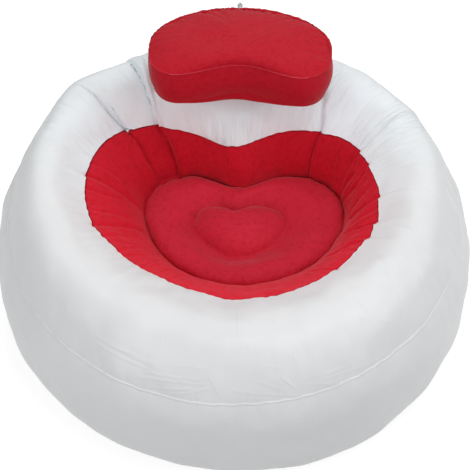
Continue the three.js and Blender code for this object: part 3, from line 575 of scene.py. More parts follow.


# Single creases across the panels: half width and depth in tenths of a millimetre, the lean, and the points
# that each runs through, as angle, place, angle, place. A lean of 0 is an even valley, or a thin ridge where
# the depth is below 0. A lean above or below 0 is a groove whose long slope lies at smaller or larger
# angles. A groove with a whole lean has a line of painted shade in its bottom.
CREASES = [
    # fan of tension lines on the white front, left and right
    (20, -13, 0, -124.8, 2.53, -115.5, 2.55, -107, 2.59),
    (20, -12, 0, -124.2, 2.62, -109.5, 2.65),
    (18, -10, 0, -121, 2.5, -106.6, 2.55),
    (20, -13, 0, -112.5, 2.81, -103, 2.72, -93.8, 2.69),
    (18, -11, 0, -110, 2.7, -94.9, 2.63),
    (20, -12, 0, -108.5, 2.91, -97.8, 2.77),
    (18, -10, 0, -104.2, 2.95, -92.7, 2.7),
    (18, -9, 0, -97.2, 2.4, -92.2, 2.91),
    (18, -8, 0, -103.4, 2.5, -95.9, 2.48),
    (22, -18, 0, -79.3, 2.62, -76.2, 2.84),
    (18, -12, 0, -74.6, 2.78, -65.8, 2.98),
    (18, -10, 0, -72.8, 2.72, -62, 2.78),
    (18, -10, 0, -71.4, 2.78, -52, 2.95),
    (18, -11, 0, -90.9, 2.75, -82, 2.86, -74.1, 2.99),
    (18, -9, 0, -85.6, 2.62, -78.3, 2.84),
    (18, -9, 0, -84, 2.45, -77.8, 2.52),
    (20, -10, 0, -87.5, 2.16, -84, 2.25),
    (20, -9, 0, -78, 2.28, -74.3, 2.48),
    (20, -9, 0, -72.5, 2.04, -68.8, 2.31),
    (22, -12, 0, -54, 1.95, -54.6, 2.22),
    (20, -9, 0, -65, 1.97, -55, 2.3, -44.4, 2.72),
    (24, -10, 0, -88.5, 1.19, -88.8, 2.04),
    # right arm
    (40, 10, 0, -34, 1.15, -46, 2.6),
    (35, 8, 0, -26, 1.15, -36, 2.5),
    (35, 10, 0, -20, 1.1, -26, 2.3),
    (40, 8, 0, -10, 1.15, -15, 2.5),
    (35, 12, 0, -5, 1.1, -8, 2.2),
    (40, 10, 0, 4, 1.15, 3, 2.4),
    # soft parallel folds beside the right corner
    (35, 12, 0, 10, 1.15, 12, 2.0, 13, 2.8),
    (30, 14, 0, 15.5, 1.1, 17, 2.0, 18, 2.6),
    (30, 14, 0, 23.5, 1.1, 24.5, 1.9, 25.5, 2.6),
    (35, 12, 0, 27, 1.2, 28, 2.0),
    (40, 10, 0, 31, 1.2, 34, 2.2),
    (40, 10, 0, 36, 1.1, 39, 1.8),
    # left corner
    (40, 10, 0, 154, 1.15, 156, 2.0, 152, 2.8),
    (40, 8, 0, 162, 1.15, 163, 2.3),
    # white back beside the pillow
    (50, 20, 0, 130, 1.1, 125, 1.7),
    (60, 16, 0, 122, 1.1, 116, 1.8),
    (50, 12, 0, 112, 1.1, 108, 1.8),
    (60, 12, 0, 58, 1.1, 60, 1.8),
    (60, 16, 0, 52, 1.1, 54, 2.0),
    # pleats of the red seat wall, right
    (45, 80, -0.5, 20.1, 1.0, 15.7, 0.65, 18.5, 0.05),
    (50, 80, -0.5, 11.9, 0.98, 9.3, 0.6, 14.2, 0.06),
    (40, 90, -1, -6.1, 1.0, -5.9, 0.7, -2.5, 0.25),
    (45, 70, -0.5, -19.5, 1.0, -19.2, 0.75, -17.0, 0.4),
    (40, 70, -1, -28.1, 1.0, -31.5, 0.8, -38.0, 0.5),
    (40, 35, -0.5, -47.8, 1.0, -52, 0.6),
    (50, 24, 0, 2, 0.95, 1, 0.3),
    (50, 26, 0, -12, 0.95, -13, 0.3),
    (50, 22, 0, 30, 0.97, 28, 0.2),
    # wrinkles of the red seat wall, left
    (70, 75, 0.5, 174.4, 1.0, 172.0, 0.6, 169.1, 0.05),
    (50, 26, 0, 182, 0.98, 178, 0.5),
    (50, 26, 0, 168, 0.98, 164, 0.5),
    (65, 75, 0.5, 201.1, 1.0, 198.7, 0.7, 190.4, 0.1),
    (50, 28, 0, 193, 0.97, 188, 0.4),
    (50, 24, 0, 208, 0.97, 204, 0.4),
    (45, 24, 0, 218, 0.98, 213, 0.5),
    (45, 20, 0, 230, 0.98, 226, 0.5),
    (50, 24, 0, 158, 0.97, 155, 0.3),
    # the red back wall
    (50, 12, 0, 124, 0.97, 121, 0.3),
    (50, 12, 0, 62, 0.97, 62, 0.3),
    (40, 16, 0, 34, 0.97, 33, 0.3),
]
TENTHS = 10000
CREASE_POINTS = 18
CREASE_POWER = 0.5
PLEAT_GROOVE = 0.65
PLEAT_SLOPE = 3.2
CREASE_ANGLE = 12
CREASE_ROOM = 0.5
OPEN_PLACES = (0.97, 1.01)
fine = np.linspace(0, 1, CREASE_POINTS)
for width, depth, lean, *through in CREASES:
    width /= TENTHS
    depth /= TENTHS
    share = np.linspace(0, 1, len(through) // 2)
    crease_angles = np.interp(fine, share, through[::2])
    crease_places = np.interp(fine, share, through[1::2])
    line = np.array([skin_point(a, b) for a, b in zip(crease_angles, crease_places)])
    rows = np.where((places > crease_places.min() - CREASE_ROOM)
                    & (places < crease_places.max() + CREASE_ROOM))[0]
    middle = (crease_angles.min() + crease_angles.max()) / 2
    half_angle = (crease_angles.max() - crease_angles.min()) / 2 + CREASE_ANGLE
    cols = np.where(apart(angles, middle) < half_angle)[0]
    grid = np.ix_(rows, cols)
    best = np.full((len(rows), len(cols)), 9.0)
    taper = np.zeros((len(rows), len(cols)))
    for n in range(CREASE_POINTS - 1):
        way = line[n + 1] - line[n]
        from_start = skin[grid] - line[n]
        t = np.clip((from_start @ way) / (way @ way), 0, 1)
        far = np.linalg.norm(from_start - t[:, :, None] * way, axis=2)
        nearer = far < best
        best = np.where(nearer, far, best)
        taper = np.where(nearer, (n + t) / (CREASE_POINTS - 1), taper)
    hump = np.exp(-((best / width) ** 2))
    if lean:
        beside = signed(angles[cols][None], np.interp(taper, fine, crease_angles)) * lean
        slope = np.where(beside > 0, 1, PLEAT_SLOPE) * width
        shape = PLEAT_GROOVE * hump + (1 - PLEAT_GROOVE) * np.exp(-best / slope)
    else:
        shape = (1 - 0.5 * (best / width) ** 2) * np.exp(-((best / width) ** 2) / 1.5)
    open_end = 1.0 if OPEN_PLACES[0] < through[1] < OPEN_PLACES[1] else 0.0
    ends = np.where(taper < 0.5, np.maximum(np.sin(math.pi * np.clip(taper, 0.02, 0.5)), open_end),
                    np.sin(math.pi * np.clip(taper, 0.5, 0.98)))
    push[grid] -= depth * shape * ends ** CREASE_POWER
    # Painted shade: a dark line in the bottom of a groove with a whole lean
    if abs(lean) == 1:
        painted_crease_shade[grid] |= best < LINE_HALF_WIDTH * ends

# Uneven swelling of the film, as (height, wavelength, seed). It fades between the places given for the
# ground and for the centre, and everything fades on the ground.
SWELLS = [(0.0012, 0.16, 31), (0.0005, 0.06, 32)]
SWELL_GROUND = (5.6, 4.2)
SWELL_CENTRE = (-2.0, -1.6)
PUSH_GROUND = (5.9, 5.0)
flesh = smooth(*SWELL_GROUND, places)[:, None] * smooth(*SWELL_CENTRE, places)[:, None]
for height, wavelength, seed in SWELLS:
    push += height * space_noise(skin, wavelength, seed) * flesh
push *= smooth(*PUSH_GROUND, places)[:, None]
tangents = np.roll(skin, -1, axis=1) - np.roll(skin, 1, axis=1)
tangents /= np.linalg.norm(tangents, axis=2)[:, :, None]
skin = skin + normals_of(skin) * push[:, :, None] + tangents * slide[:, :, None]
skin[:, :, 2] = np.maximum(skin[:, :, 2], 0)

# Where a valve sits: its place, its axis, the radii between which the film eases from flat to its own
# shape, and the radius of its hole
VALVE_SEAT = ((-0.00003, 0.52916, 0.226965), (0.005896, 0.947843, 0.318682), (0.036, 0.068), 0.0207)
PILLOW_VALVE_SEAT = ((0.014, 0.36901, 0.54824), (0, 0.995313, 0.096701), (0.013, 0.03), 0.00725)


def flattened(points, seat):
    """A grid laid flat round a valve."""
    at, axis, (flat, edge), _ = seat
    away = points - at
    out = away @ axis
    beside = np.linalg.norm(away - out[:, :, None] * axis, axis=2)
    beside[np.abs(out) > edge] = edge
    flatness = 1 - smooth(flat, edge, beside)
    return points - (out * flatness)[:, :, None] * axis


skin = flattened(skin, VALVE_SEAT)
skin_normals = normals_of(skin)

# Materials: how dense the streaks and the nap are, the middle range of a noise, and where the crinkles, the
# flock's painted light and shade from front to back and the backrest's painted brighter, cooler white begin
# and end
STREAKS_ROUND = 62
STREAKS_ALONG = 13
NAP_SCALE = 60
MIDDLE = (0.3, 0.7)
CRINKLE_Y = (-0.1, 0.12)
PAINTED_SHADING_Y = (-0.3, 0.14)
INSIDE_Y = (-0.08, 0.16)
INSIDE_REACH = (0.33, 0.47)


def filled(node, inputs):
    """Gives a node's inputs their values, or links them to the outputs of other nodes."""
    for name, value in inputs.items():
        if isinstance(value, bpy.types.NodeSocket):
            node.id_data.links.new(value, node.inputs[name])
        else:
            node.inputs[name].default_value = value
    return node


def added(tree, kind, inputs, operation=None):
    """A new node of a kind. The functions below find the tree from a socket that they get."""
    node = tree.nodes.new("ShaderNode" + kind)
    if operation:
        node.operation = operation
    return filled(node, inputs)


def number(operation, *values):
    return added(values[0].id_data, "Math", dict(enumerate(values)), operation).outputs[0]


def vector(operation, *values):
    return added(values[0].id_data, "VectorMath", dict(enumerate(values)), operation).outputs[0]


def scaled(value, scale):
    return added(value.id_data, "VectorMath", {0: value, "Scale": scale}, "SCALE").outputs[0]


def mixed(factor, a, b, blend="MIX"):
    """A colour from two others."""
    node = a.id_data.nodes.new("ShaderNodeMix")
    node.data_type = "RGBA"
    node.blend_type = blend
    return filled(node, {"Factor": factor, "A": a, "B": b}).outputs["Result"]


def noise(place, scale, detail=3.0, roughness=0.5):
    inputs = {"Vector": place, "Scale": scale, "Detail": detail, "Roughness": roughness}
    return added(place.id_data, "TexNoise", inputs).outputs["Fac"]


def folded_noise(place, scale, detail, roughness):
    """Noise folded about its middle, which turns its smooth waves into crisp creases."""
    return number("ABSOLUTE", number("SUBTRACT", noise(place, scale, detail, roughness), 0.5))


def bump(height, strength, distance, below=None):
    """A bump, on top of another one if one is given."""
    inputs = {"Height": height, "Strength": strength, "Distance": distance}
    if below is not None:
        inputs["Normal"] = below
    return added(height.id_data, "Bump", inputs).outputs["Normal"]


def ramp(factor, ends, colours):
    """A colour ramp between two places of a factor."""
    node = added(factor.id_data, "ValToRGB", {"Fac": factor})
    for stop, place, colour in zip(node.color_ramp.elements, ends, colours):
        stop.position = place
        stop.color = (*colour, 1)
    return node.outputs["Color"]


def ranged(value, ends, low, high):
    """Maps a range to low..high, and holds beyond its ends."""
    inputs = {"Value": value, "From Min": ends[0], "From Max": ends[1], "To Min": low, "To Max": high}
    return added(value.id_data, "MapRange", inputs).outputs["Result"]


def depth_of(place):
    """How far back a place lies."""
    return added(place.id_data, "SeparateXYZ", {0: place}).outputs["Y"]


def streak_place(place):
    """Coordinates for streaks that run up and down the ring: long along its section, short round it."""
    ring = vector("NORMALIZE", vector("MULTIPLY", place, (1, 1, 0)))
    wide = scaled(ring, STREAKS_ROUND)
    return vector("MULTIPLY_ADD", place, (STREAKS_ALONG, STREAKS_ALONG, STREAKS_ALONG), wide)


# Painted light: where this is 1, the film's white is painted brighter and cooler
def painted_backrest_light(place):
    """1 on the backrest's face towards the seat, and 0 elsewhere."""
    flat = vector("MULTIPLY_ADD", place, (1, 1, 0), (0, -SEAT_BACK, 0))
    reach = added(place.id_data, "VectorMath", {0: flat}, "LENGTH").outputs["Value"]
    near = ranged(reach, INSIDE_REACH, 1, 0)
    return number("MULTIPLY", near, ranged(depth_of(place), INSIDE_Y, 0, 1))


def started(name):
    """A new material, its shader and the place that it colours."""
    material = bpy.data.materials.new(name)
    material.use_nodes = True
    tree = material.node_tree
    return material, tree.nodes["Principled BSDF"], added(tree, "TexCoord", {}).outputs["Object"]


def white_vinyl(name, low, high, backrest_painted_low, backrest_painted_high):
    """Smooth film with patches of fine crinkles, most of them behind the arms, and painted brighter, cooler
    light on the backrest's inside.
    """
    material, shader, place = started(name)
    wide = noise(place, 6.0)
    outside = ramp(wide, MIDDLE, (low, high))
    inside = ramp(wide, MIDDLE, (backrest_painted_low, backrest_painted_high))
    fine = noise(place, 160.0, 2.0)
    streaks = folded_noise(streak_place(place), 1.0, 2.0, 0.5)
    patches = ranged(noise(place, 9.0, 1.0), MIDDLE, 0.15, 1.0)
    behind = ranged(depth_of(place), CRINKLE_Y, 0.14, 1)
    crinkles = number("MULTIPLY", number("MULTIPLY", streaks, patches), behind)
    soft = bump(crinkles, 1.0, 0.007)
    rough = bump(noise(place, 38.0, 4.0, 0.55), 0.2, 0.003, soft)
    filled(shader, {
        "Specular IOR Level": 0.5,
        "Coat Weight": 0.12,
        "Coat Roughness": 0.25,
        "Base Color": mixed(painted_backrest_light(place), outside, inside),
        "Roughness": ranged(fine, MIDDLE, 0.38, 0.5),
        "Normal": bump(fine, 0.08, 0.001, rough),
    })
    return material


def red_flock(name, low, high, sheen=0.28, front=1.0, back=1.0):
    """Flocked vinyl: its pile lies in soft streaks of lighter and darker red. Front and back scale it as
    painted light and shade.
    """
    material, shader, place = started(name)
    nap = folded_noise(place, NAP_SCALE, 4.0, 0.62)
    # Painted light and shade: the colour is scaled from the front to the back
    share = ranged(depth_of(place), PAINTED_SHADING_Y, front, back)
    colour = scaled(ramp(nap, (0.0, 0.17), (high, low)), share)
    speck = noise(place, 900.0, 2.0, 0.7)
    specks = ramp(speck, (0.35, 0.65), ((0.74, 0.66, 0.66), (1, 1, 1)))
    pile = bump(speck, 0.35, 0.0008)
    filled(shader, {
        "Specular IOR Level": 0.12,
        "Sheen Weight": sheen,
        "Sheen Roughness": 0.45,
        "Sheen Tint": (1.0, 0.5, 0.56, 1),
        "Roughness": 0.62,
        "Base Color": mixed(0.35, colour, specks, "MULTIPLY"),
        "Normal": bump(nap, 0.5, 0.005, pile),
    })
    return material


def moulded_vinyl(name, colour, transmission, roughness):
    material, shader, place = started(name)
    haze = noise(place, 220.0)
    low = tuple(0.94 * c for c in colour)
    filled(shader, {
        "IOR": 1.5,
        "Transmission Weight": transmission,
        "Base Color": ramp(haze, MIDDLE, (low, colour)),
        "Roughness": ranged(haze, MIDDLE, roughness, roughness + 0.12),
        "Normal": bump(haze, 0.1, 0.0005),
    })
    return material


# Each white's second pair of colours is painted light: a brighter, cooler white on the backrest's inside
WHITE = white_vinyl("white_vinyl_film", (0.736, 0.747, 0.758), (0.766, 0.777, 0.786),
                    (0.800, 0.890, 0.930), (0.830, 0.920, 0.950))
# The crease white is painted shade for the dark lines in the creases
WHITE_CREASE_SHADE = white_vinyl("white_film_painted_crease_shade", (0.42, 0.43, 0.45), (0.48, 0.49, 0.51),
                           (0.42, 0.46, 0.48), (0.48, 0.52, 0.54))
# Lit and shaded copies of one flock: the floor's is painted lighter, the pillow's darker, and the wall's
# lighter at the front and darker at the back
RED_FLOOR = red_flock("red_flock_floor_painted_lighter", (0.59, 0.014, 0.036), (0.68, 0.022, 0.050), 0.30)
RED_WALL = red_flock("red_flock_wall_painted_light_and_shade", (0.62, 0.004, 0.016), (0.71, 0.008, 0.028), 0.24, 1.18, 0.84)
RED_PILLOW = red_flock("red_flock_pillow_painted_darker", (0.45, 0.004, 0.014), (0.51, 0.008, 0.021), 0.14)
# The crease red is painted shade for the dark lines in the creases
RED_CREASE_SHADE = red_flock("red_flock_painted_crease_shade", (0.24, 0.002, 0.006), (0.30, 0.004, 0.010), 0.1)
# The weld edge: the weld's own dark edge with painted shadow along it, on the rim and on the pillow's back
# seam
WELD_EDGE_SHADE = red_flock("weld_edge_painted_shade", (0.12, 0.004, 0.010), (0.16, 0.006, 0.014), 0.1)
# Painted highlight along the pillow's front seam
SEAM_HIGHLIGHT = red_flock("pillow_seam_painted_highlight", (0.60, 0.06, 0.09), (0.66, 0.09, 0.12))
RIM_SHADE_ROWS = 2
VALVE = moulded_vinyl("white_moulded_vinyl", (0.64, 0.66, 0.70), 0.0, 0.3)
CLEAR = moulded_vinyl("clear_moulded_vinyl", (0.86, 0.9, 0.92), 0.75, 0.12)


# Meshes
def make_object(name, points, faces, material, sharp=()):
    mesh = bpy.data.meshes.new(name)
    mesh.from_pydata(points, [], faces)
    mesh.materials.append(material)
    mesh.shade_smooth()
    if len(sharp):
        edges = np.zeros(2 * len(mesh.edges), int)
        mesh.edges.foreach_get("vertices", edges)
        edges = edges.reshape(-1, 2)
        marked = np.zeros(len(points), bool)
        marked[np.asarray(sharp)] = True
        mesh.edges.foreach_set("use_edge_sharp", marked[edges].all(1))
    mesh.update()
    obj = bpy.data.objects.new(name, mesh)
    bpy.context.scene.collection.objects.link(obj)
    return obj


def spread_rows(values, kept, count):
    """A coarse grid's values at every row and station, evenly spread between its own."""
    wanted = np.arange(kept[-1] + 1)
    low = np.clip(np.searchsorted(kept, wanted, side="right") - 1, 0, len(kept) - 2)
    share = ((wanted - kept[low]) / (kept[low + 1] - kept[low]))[:, None, None]
    tall = values[low] * (1 - share) + values[low + 1] * share
    station = np.arange(count)
    left = station // INSIDE_STRIDE
    share = ((station % INSIDE_STRIDE) / INSIDE_STRIDE)[None, :, None]
    return tall[:, left] * (1 - share) + np.roll(tall, -1, axis=1)[:, left] * share


def inside_face(rows, normals, thickness):
    """The inside of a film on a coarser grid, deep enough to stay below every crease of its skin."""
    depth, count = rows.shape[:2]
    edge = min(INSIDE_EDGE_ROWS, depth)
    kept = np.unique([*range(edge), *range(edge, depth, INSIDE_STRIDE), *range(depth - edge, depth)])
    coarse = rows[kept][:, ::INSIDE_STRIDE]
    above = ((spread_rows(coarse, kept, count) - rows) * normals).sum(2)
    deepest = []
    for n in range(len(kept)):
        band = above[kept[max(0, n - 1)]:kept[min(len(kept) - 1, n + 1)] + 1].max(0)
        near = [np.roll(band, shift) for shift in range(-INSIDE_STRIDE, INSIDE_STRIDE + 1)]
        deepest.append(np.maximum(0, np.max(near, axis=0))[::INSIDE_STRIDE])
    below = thickness + np.array(deepest)[:, :, None]
    return coarse - normals[kept][:, ::INSIDE_STRIDE] * below


def grid_faces(depth, count, start=0, inside=False):
    """The faces of a closed grid of rows, turned the other way on the inside of a film."""
    j, i = np.meshgrid(count * np.arange(depth - 1), np.arange(count), indexing="ij")
    k = (i + 1) % count
    corners = [j + i, j + count + i, j + count + k, j + k]
    if inside:
        corners = [j + i, j + k, j + count + k, j + count + i]
    return (start + np.stack(corners, -1)).reshape(-1, 4).tolist()


def shell(name, rows, thickness, material, first_centre=None, last_centre=None):
    """A closed film panel from a grid of rows: its skin, its inside face and its edges."""
    depth, count = rows.shape[:2]
    normals = normals_of(rows)
    inside = inside_face(rows, normals, thickness)
    inner_depth, inner_count = inside.shape[:2]
    points = np.concatenate([rows.reshape(-1, 3), inside.reshape(-1, 3)])
    base_index = depth * count
    faces = grid_faces(depth, count) + grid_faces(inner_depth, inner_count, base_index, True)
    extra = []
    sharp = []
    ends = ((first_centre, 0, 0, 1), (last_centre, depth - 1, inner_depth - 1, -1))
    for centre, row, inner_row, turn in ends:
        start = row * count
        inner_start = base_index + inner_row * inner_count
        place = base_index + inner_depth * inner_count + len(extra)
        for n in range(inner_count):
            along = [start + (n * INSIDE_STRIDE + m) % count for m in range(INSIDE_STRIDE + 1)]
            across = [inner_start + (n + 1) % inner_count, inner_start + n]
            if centre is None:
                faces.append((along + across)[::turn])
            else:
                faces += [[a, b, place][::turn] for a, b in zip(along, along[1:])]
                faces.append([*across, place + 1][::turn])
        if centre is None:
            sharp += [*range(start, start + count), *range(inner_start, inner_start + inner_count)]
        else:
            away = np.sign(normals[row, :, 2].mean()) * thickness
            extra += [centre, np.array(centre) - np.array([0, 0, away])]
    if extra:
        points = np.concatenate([points, np.array(extra)])
    return make_object(name, points.tolist(), faces, material, sharp)


def marked(obj, chosen, material):
    """Gives the skin's faces that a grid of rows and stations chooses a material of their own."""
    faces = (chosen[:-1] | chosen[1:]) & (chosen[:-1] | np.roll(chosen, -1, axis=1)[:-1])
    index = np.zeros(len(obj.data.polygons), int)
    obj.data.polygons.foreach_get("material_index", index)
    index[:faces.size][faces.reshape(-1)] = len(obj.data.materials)
    obj.data.materials.append(material)
    obj.data.polygons.foreach_set("material_index", index)
    obj.data.update()


def spread_round(values, kind):
    """The mean or the largest of each row's values over a short stretch round the chair."""
    return kind([np.roll(values, step, axis=1) for step in range(-TUCK_REACH, TUCK_REACH + 1)], axis=0)


def tucked(place, depth):
    """Rows of the skin before a weld, laid evenly below it."""
    weld = row_of(place)
    away = np.abs(lengths - lengths[weld]).mean(1)
    rows = [j for j in range(weld) if away[j] < WELD_LAP] + [weld]
    calm = spread_round(skin[rows], np.mean)
    way = spread_round(skin_normals[rows], np.mean)
    way /= np.linalg.norm(way, axis=2)[:, :, None]
    above = spread_round(((calm - skin[rows]) * way).sum(2), np.max)
    return calm - way * (depth + np.maximum(0, above))[:, :, None]


def drilled(obj, at, axis, radius):
    """Cuts a round hole through a piece."""
    turn = Vector(axis).to_track_quat("Z", "Y").to_euler()
    bpy.ops.mesh.primitive_cylinder_add(
        vertices=HOLE_CORNERS, radius=radius, depth=HOLE_LENGTH, location=at, rotation=turn)
    tool = bpy.context.object
    cut = obj.modifiers.new("hole", "BOOLEAN")
    cut.object = tool
    cut.operation = "DIFFERENCE"
    bpy.context.view_layer.objects.active = obj
    bpy.ops.object.modifier_apply(modifier=cut.name)
    bpy.data.objects.remove(tool)


def panel(name, rows, thickness, marks, body, slot, fill, material, centres=(None, None), hole=None):
    """A film panel from rows of skin, in place of the CAD's. Each mark gives chosen faces a material."""
    obj = shell(name + "_skin", rows, thickness, material, *centres)
    for chosen, other in marks:
        marked(obj, chosen, other)
    if hole:
        at, axis, _, radius = hole
        drilled(obj, at, axis, radius)
    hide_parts(name)
    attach(obj, body)


def chair_panel(name, first, last, thickness, slot, material, crease, tuck=None, **more):
    """The chair's panel between two places, with its first edge tucked under the panel before it."""
    span = slice(row_of(first), row_of(last) + 1)
    rows = skin[span]
    crease_shade_lines = painted_crease_shade[span]
    if tuck:
        under = tucked(first, tuck)
        rows = np.concatenate([under, rows[1:]])
        crease_shade_lines = np.concatenate([np.zeros(under.shape[:2], bool), crease_shade_lines[1:]])
    # The creases' dark lines take the painted crease shade
    marks = [(crease_shade_lines, crease)]
    # The seat wall ends in the rim weld's dark edge with painted shadow along it
    if material == RED_WALL:
        rim_shade = np.zeros(crease_shade_lines.shape, bool)
        rim_shade[-RIM_SHADE_ROWS - 1:] = True
        marks.append((rim_shade, WELD_EDGE_SHADE))
    panel(name, rows, thickness, marks, "chair", slot, CHAIR_FILL, material, **more)


# What the flocked panels share, and what the plain ones share
FLOCKED = (FLOCK, "red_flock")
PLAIN = (FILM, "white_vinyl", WHITE, WHITE_CREASE_SHADE)
floor_centre = tuple(skin[0, :, axis].mean() for axis in range(3))
chair_panel("seat_floor_panel", -2, 0, *FLOCKED, RED_FLOOR, RED_CREASE_SHADE, centres=(floor_centre, None))
chair_panel("seat_wall_panel", 0, 1, *FLOCKED, RED_WALL, RED_CREASE_SHADE, tuck=FLOCK + GAP)
chair_panel("top_panel", 1, 3, *PLAIN, tuck=FLOCK + GAP)
chair_panel("side_wall_panel", 3, 5, *PLAIN, tuck=FILM + GAP, hole=VALVE_SEAT)
chair_panel("base_panel", 5, 6, *PLAIN, tuck=FILM + GAP, centres=(None, (0, SEAT_BACK, 0)))

# Pillow
HALF_WIDTH = 0.203
HALF_DEPTH = 0.13
PILLOW_BACK = 0.232
PILLOW_ASIDE = 0.014
SEAM_HEIGHT = 0.574
BAND_HEIGHT = 0.092
BAND_BULGE = 0.007
TAPER = 0.006
TOP_CROWN = 0.024
BOTTOM_CROWN = 0.032
BOW = 0.012
NOTCH = 0.062
FRONT_ROUNDNESS = 0.8
BACK_ROUNDNESS = 0.94
PILLOW_TURN = -2.2
CLEARANCE = 0.0016
PILLOW_STATIONS = 480
PILLOW_TOP_ROWS = 40
PILLOW_BAND_ROWS = 34
PILLOW_BOTTOM_ROWS = 30
CROWN_POWER = 3
BOTTOM_POWER = 2
BAND_POWER = 1.3
SEAM_FRONT = -0.72
SEAM_BACK = -0.1
SEAM_ROWS = 2


def kidney(angle, share, swell):
    """Plan of the pillow: a hollow front edge and a bowed back edge."""
    c = np.cos(angle * DEGREE)
    s = np.sin(angle * DEGREE)
    backness = np.sqrt(np.maximum(0, s))
    roundness = FRONT_ROUNDNESS + (BACK_ROUNDNESS - FRONT_ROUNDNESS) * backness
    x = np.sign(c) * np.abs(c) ** roundness
    y = np.sign(s) * np.abs(s) ** roundness
    notch = np.where(s < 0, NOTCH * np.abs(s) * np.cos(math.pi / 2 * x) ** 2, 0)
    bow = BOW * (0.5 - x * x)
    across = x * share * (HALF_WIDTH + swell)
    along = y * share * (HALF_DEPTH + swell) + (notch + bow) * share * share
    turn = PILLOW_TURN * DEGREE
    return (PILLOW_ASIDE + across * math.cos(turn) - along * math.sin(turn),
            PILLOW_BACK + across * math.sin(turn) + along * math.cos(turn))


# Angles evenly spaced along the pillow's outline
fine = np.linspace(0, FULL_TURN, 20 * PILLOW_STATIONS + 1)
x, y = kidney(fine, 1, 0)
run = np.concatenate([[0], np.cumsum(np.hypot(np.diff(x), np.diff(y)))])
pillow_angles = np.interp(np.linspace(0, run[-1], PILLOW_STATIONS, endpoint=False), run, fine)
low_seam = SEAM_HEIGHT - BAND_HEIGHT
seam_shares = 1 - np.array(WELD_ROWS) / HALF_DEPTH
top_shares = merged([eased(PILLOW_TOP_ROWS, CENTRE_SHARE, 1), seam_shares], HALF_DEPTH)
band_shares = welded(PILLOW_BAND_ROWS, BAND_HEIGHT, True, True)[1:]
bottom_shares = eased(PILLOW_BOTTOM_ROWS, 1, CENTRE_SHARE)[1:]
pillow_places = np.concatenate([top_shares - 1, band_shares, 2 - bottom_shares])


def level_row(share, swell, height):
    x, y = kidney(pillow_angles, share, swell)
    return np.stack([x, y, height + 0 * x], -1)


grid_rows = []
for share in top_shares:
    grid_rows.append(level_row(share, 0, SEAM_HEIGHT + TOP_CROWN * (1 - share ** CROWN_POWER)))
for u in band_shares:
    bulge = BAND_BULGE * math.sin(math.pi * u) ** BAND_POWER
    grid_rows.append(level_row(1, bulge - TAPER * u, SEAM_HEIGHT - BAND_HEIGHT * u))
for share in bottom_shares:
    drop = BOTTOM_CROWN * (1 - share ** BOTTOM_POWER)
    grid_rows.append(level_row(share, -TAPER, low_seam - drop))
pillow = np.array(grid_rows)


def pillow_row(place):
    return int(np.argmin(np.abs(pillow_places - place)))


pillow_lengths = lengths_down(pillow)


def past_seam(place):
    """How far past a seam each point of the pillow lies."""
    return pillow_lengths - pillow_lengths[pillow_row(place)]


pillow_push = np.zeros(pillow.shape[:2])
outline = pillow[pillow_row(0)]
outline_run = np.cumsum(np.linalg.norm(np.diff(outline, axis=0, append=outline[:1]), axis=1))
outline_total = outline_run[-1]
outline_at = np.append(0, outline_run[:-1])
backness = np.sin(pillow_angles * DEGREE)

# The pillow's seams, puckers and swelling, laid down as the chair's are. The fades say how far back the
# puckers and the seam's scallops grow.
PILLOW_WELDS = [
    (0, 0.0016, 0.006, 0.0018, 0.0016),
    (1, 0.0020, 0.008, 0.0010, 0.0016),
]
PILLOW_PLACES = (-0.45, 0.45)
PILLOW_SIZES = (0.2, 1.25)
PILLOW_WIDTHS = (0.7, 1.5)
PILLOW_LENGTHS = (0.5, 2.2)
PILLOW_SKEW = 0.2
PILLOW_SWELL = (0.0010, 0.11, 51)
PUCKER_FADE = (-0.6, 0.1)
SCALLOP_FADE = (-0.4, 0.2)
PILLOW_PUCKERS = [
    (0, 90, 0.0036, 0.0050, 0.024, 0.014, 41),
    (1, 60, 0.0014, 0.0055, 0.018, 0.014, 42),
]
FRONT_SHARE = 0.18
SCALLOP_DEPTH = 0.0016
SCALLOP_WIDTH = 0.010
for place, *profile in PILLOW_WELDS:
    pillow_push += weld_profile(past_seam(place), *profile)
for place, count, depth, width, inward, outward, seed in PILLOW_PUCKERS:
    rng = np.random.default_rng(seed)
    away = past_seam(place)
    far = np.abs(away)
    at = np.linspace(0, outline_total, count, endpoint=False)
    at = at + rng.uniform(*PILLOW_PLACES, count) * outline_total / count
    for i in range(count):
        here = np.interp(at[i], outline_at, backness)
        size = depth * rng.uniform(*PILLOW_SIZES) ** 1.3
        size *= FRONT_SHARE + (1 - FRONT_SHARE) * smooth(*PUCKER_FADE, here)
        wide = width * rng.uniform(*PILLOW_WIDTHS)
        fade = far / np.where(away < 0, inward * rng.uniform(*PILLOW_LENGTHS),
                              outward * rng.uniform(*PILLOW_LENGTHS))
        off = np.mod(outline_at - at[i] + outline_total / 2, outline_total) - outline_total / 2
        pillow_push -= pucker(size, far, off[None] - rng.normal(0, PILLOW_SKEW) * far, wide, fade)
pillow_push += PILLOW_SWELL[0] * space_noise(pillow, *PILLOW_SWELL[1:])
scallops = np.abs(ring_noise(outline_at / outline_total * FULL_TURN, 24, 60, 52))
scallops *= smooth(*SCALLOP_FADE, backness)
pillow_push -= SCALLOP_DEPTH * scallops[None] * np.exp(-np.abs(past_seam(0)) / SCALLOP_WIDTH)
pillow = pillow + normals_of(pillow) * pillow_push[:, :, None]

# The underside lies on the chair's skin
UNDERSIDE = 0.7
cover = skin[row_of(1):row_of(3) + 1]
tree = BVHTree.FromPolygons(cover.reshape(-1, 3).tolist(), grid_faces(len(cover), STATIONS))
for j in range(pillow_row(UNDERSIDE), len(pillow_places)):
    for i in range(PILLOW_STATIONS):
        x, y, z = pillow[j, i]
        hit = tree.ray_cast(Vector((x, y, SEAM_HEIGHT)), Vector((0, 0, -1)))
        if hit[0] is not None:
            pillow[j, i, 2] = max(z, hit[0].z + CLEARANCE)
pillow = flattened(pillow, PILLOW_VALVE_SEAT)
pillow_normals = normals_of(pillow)


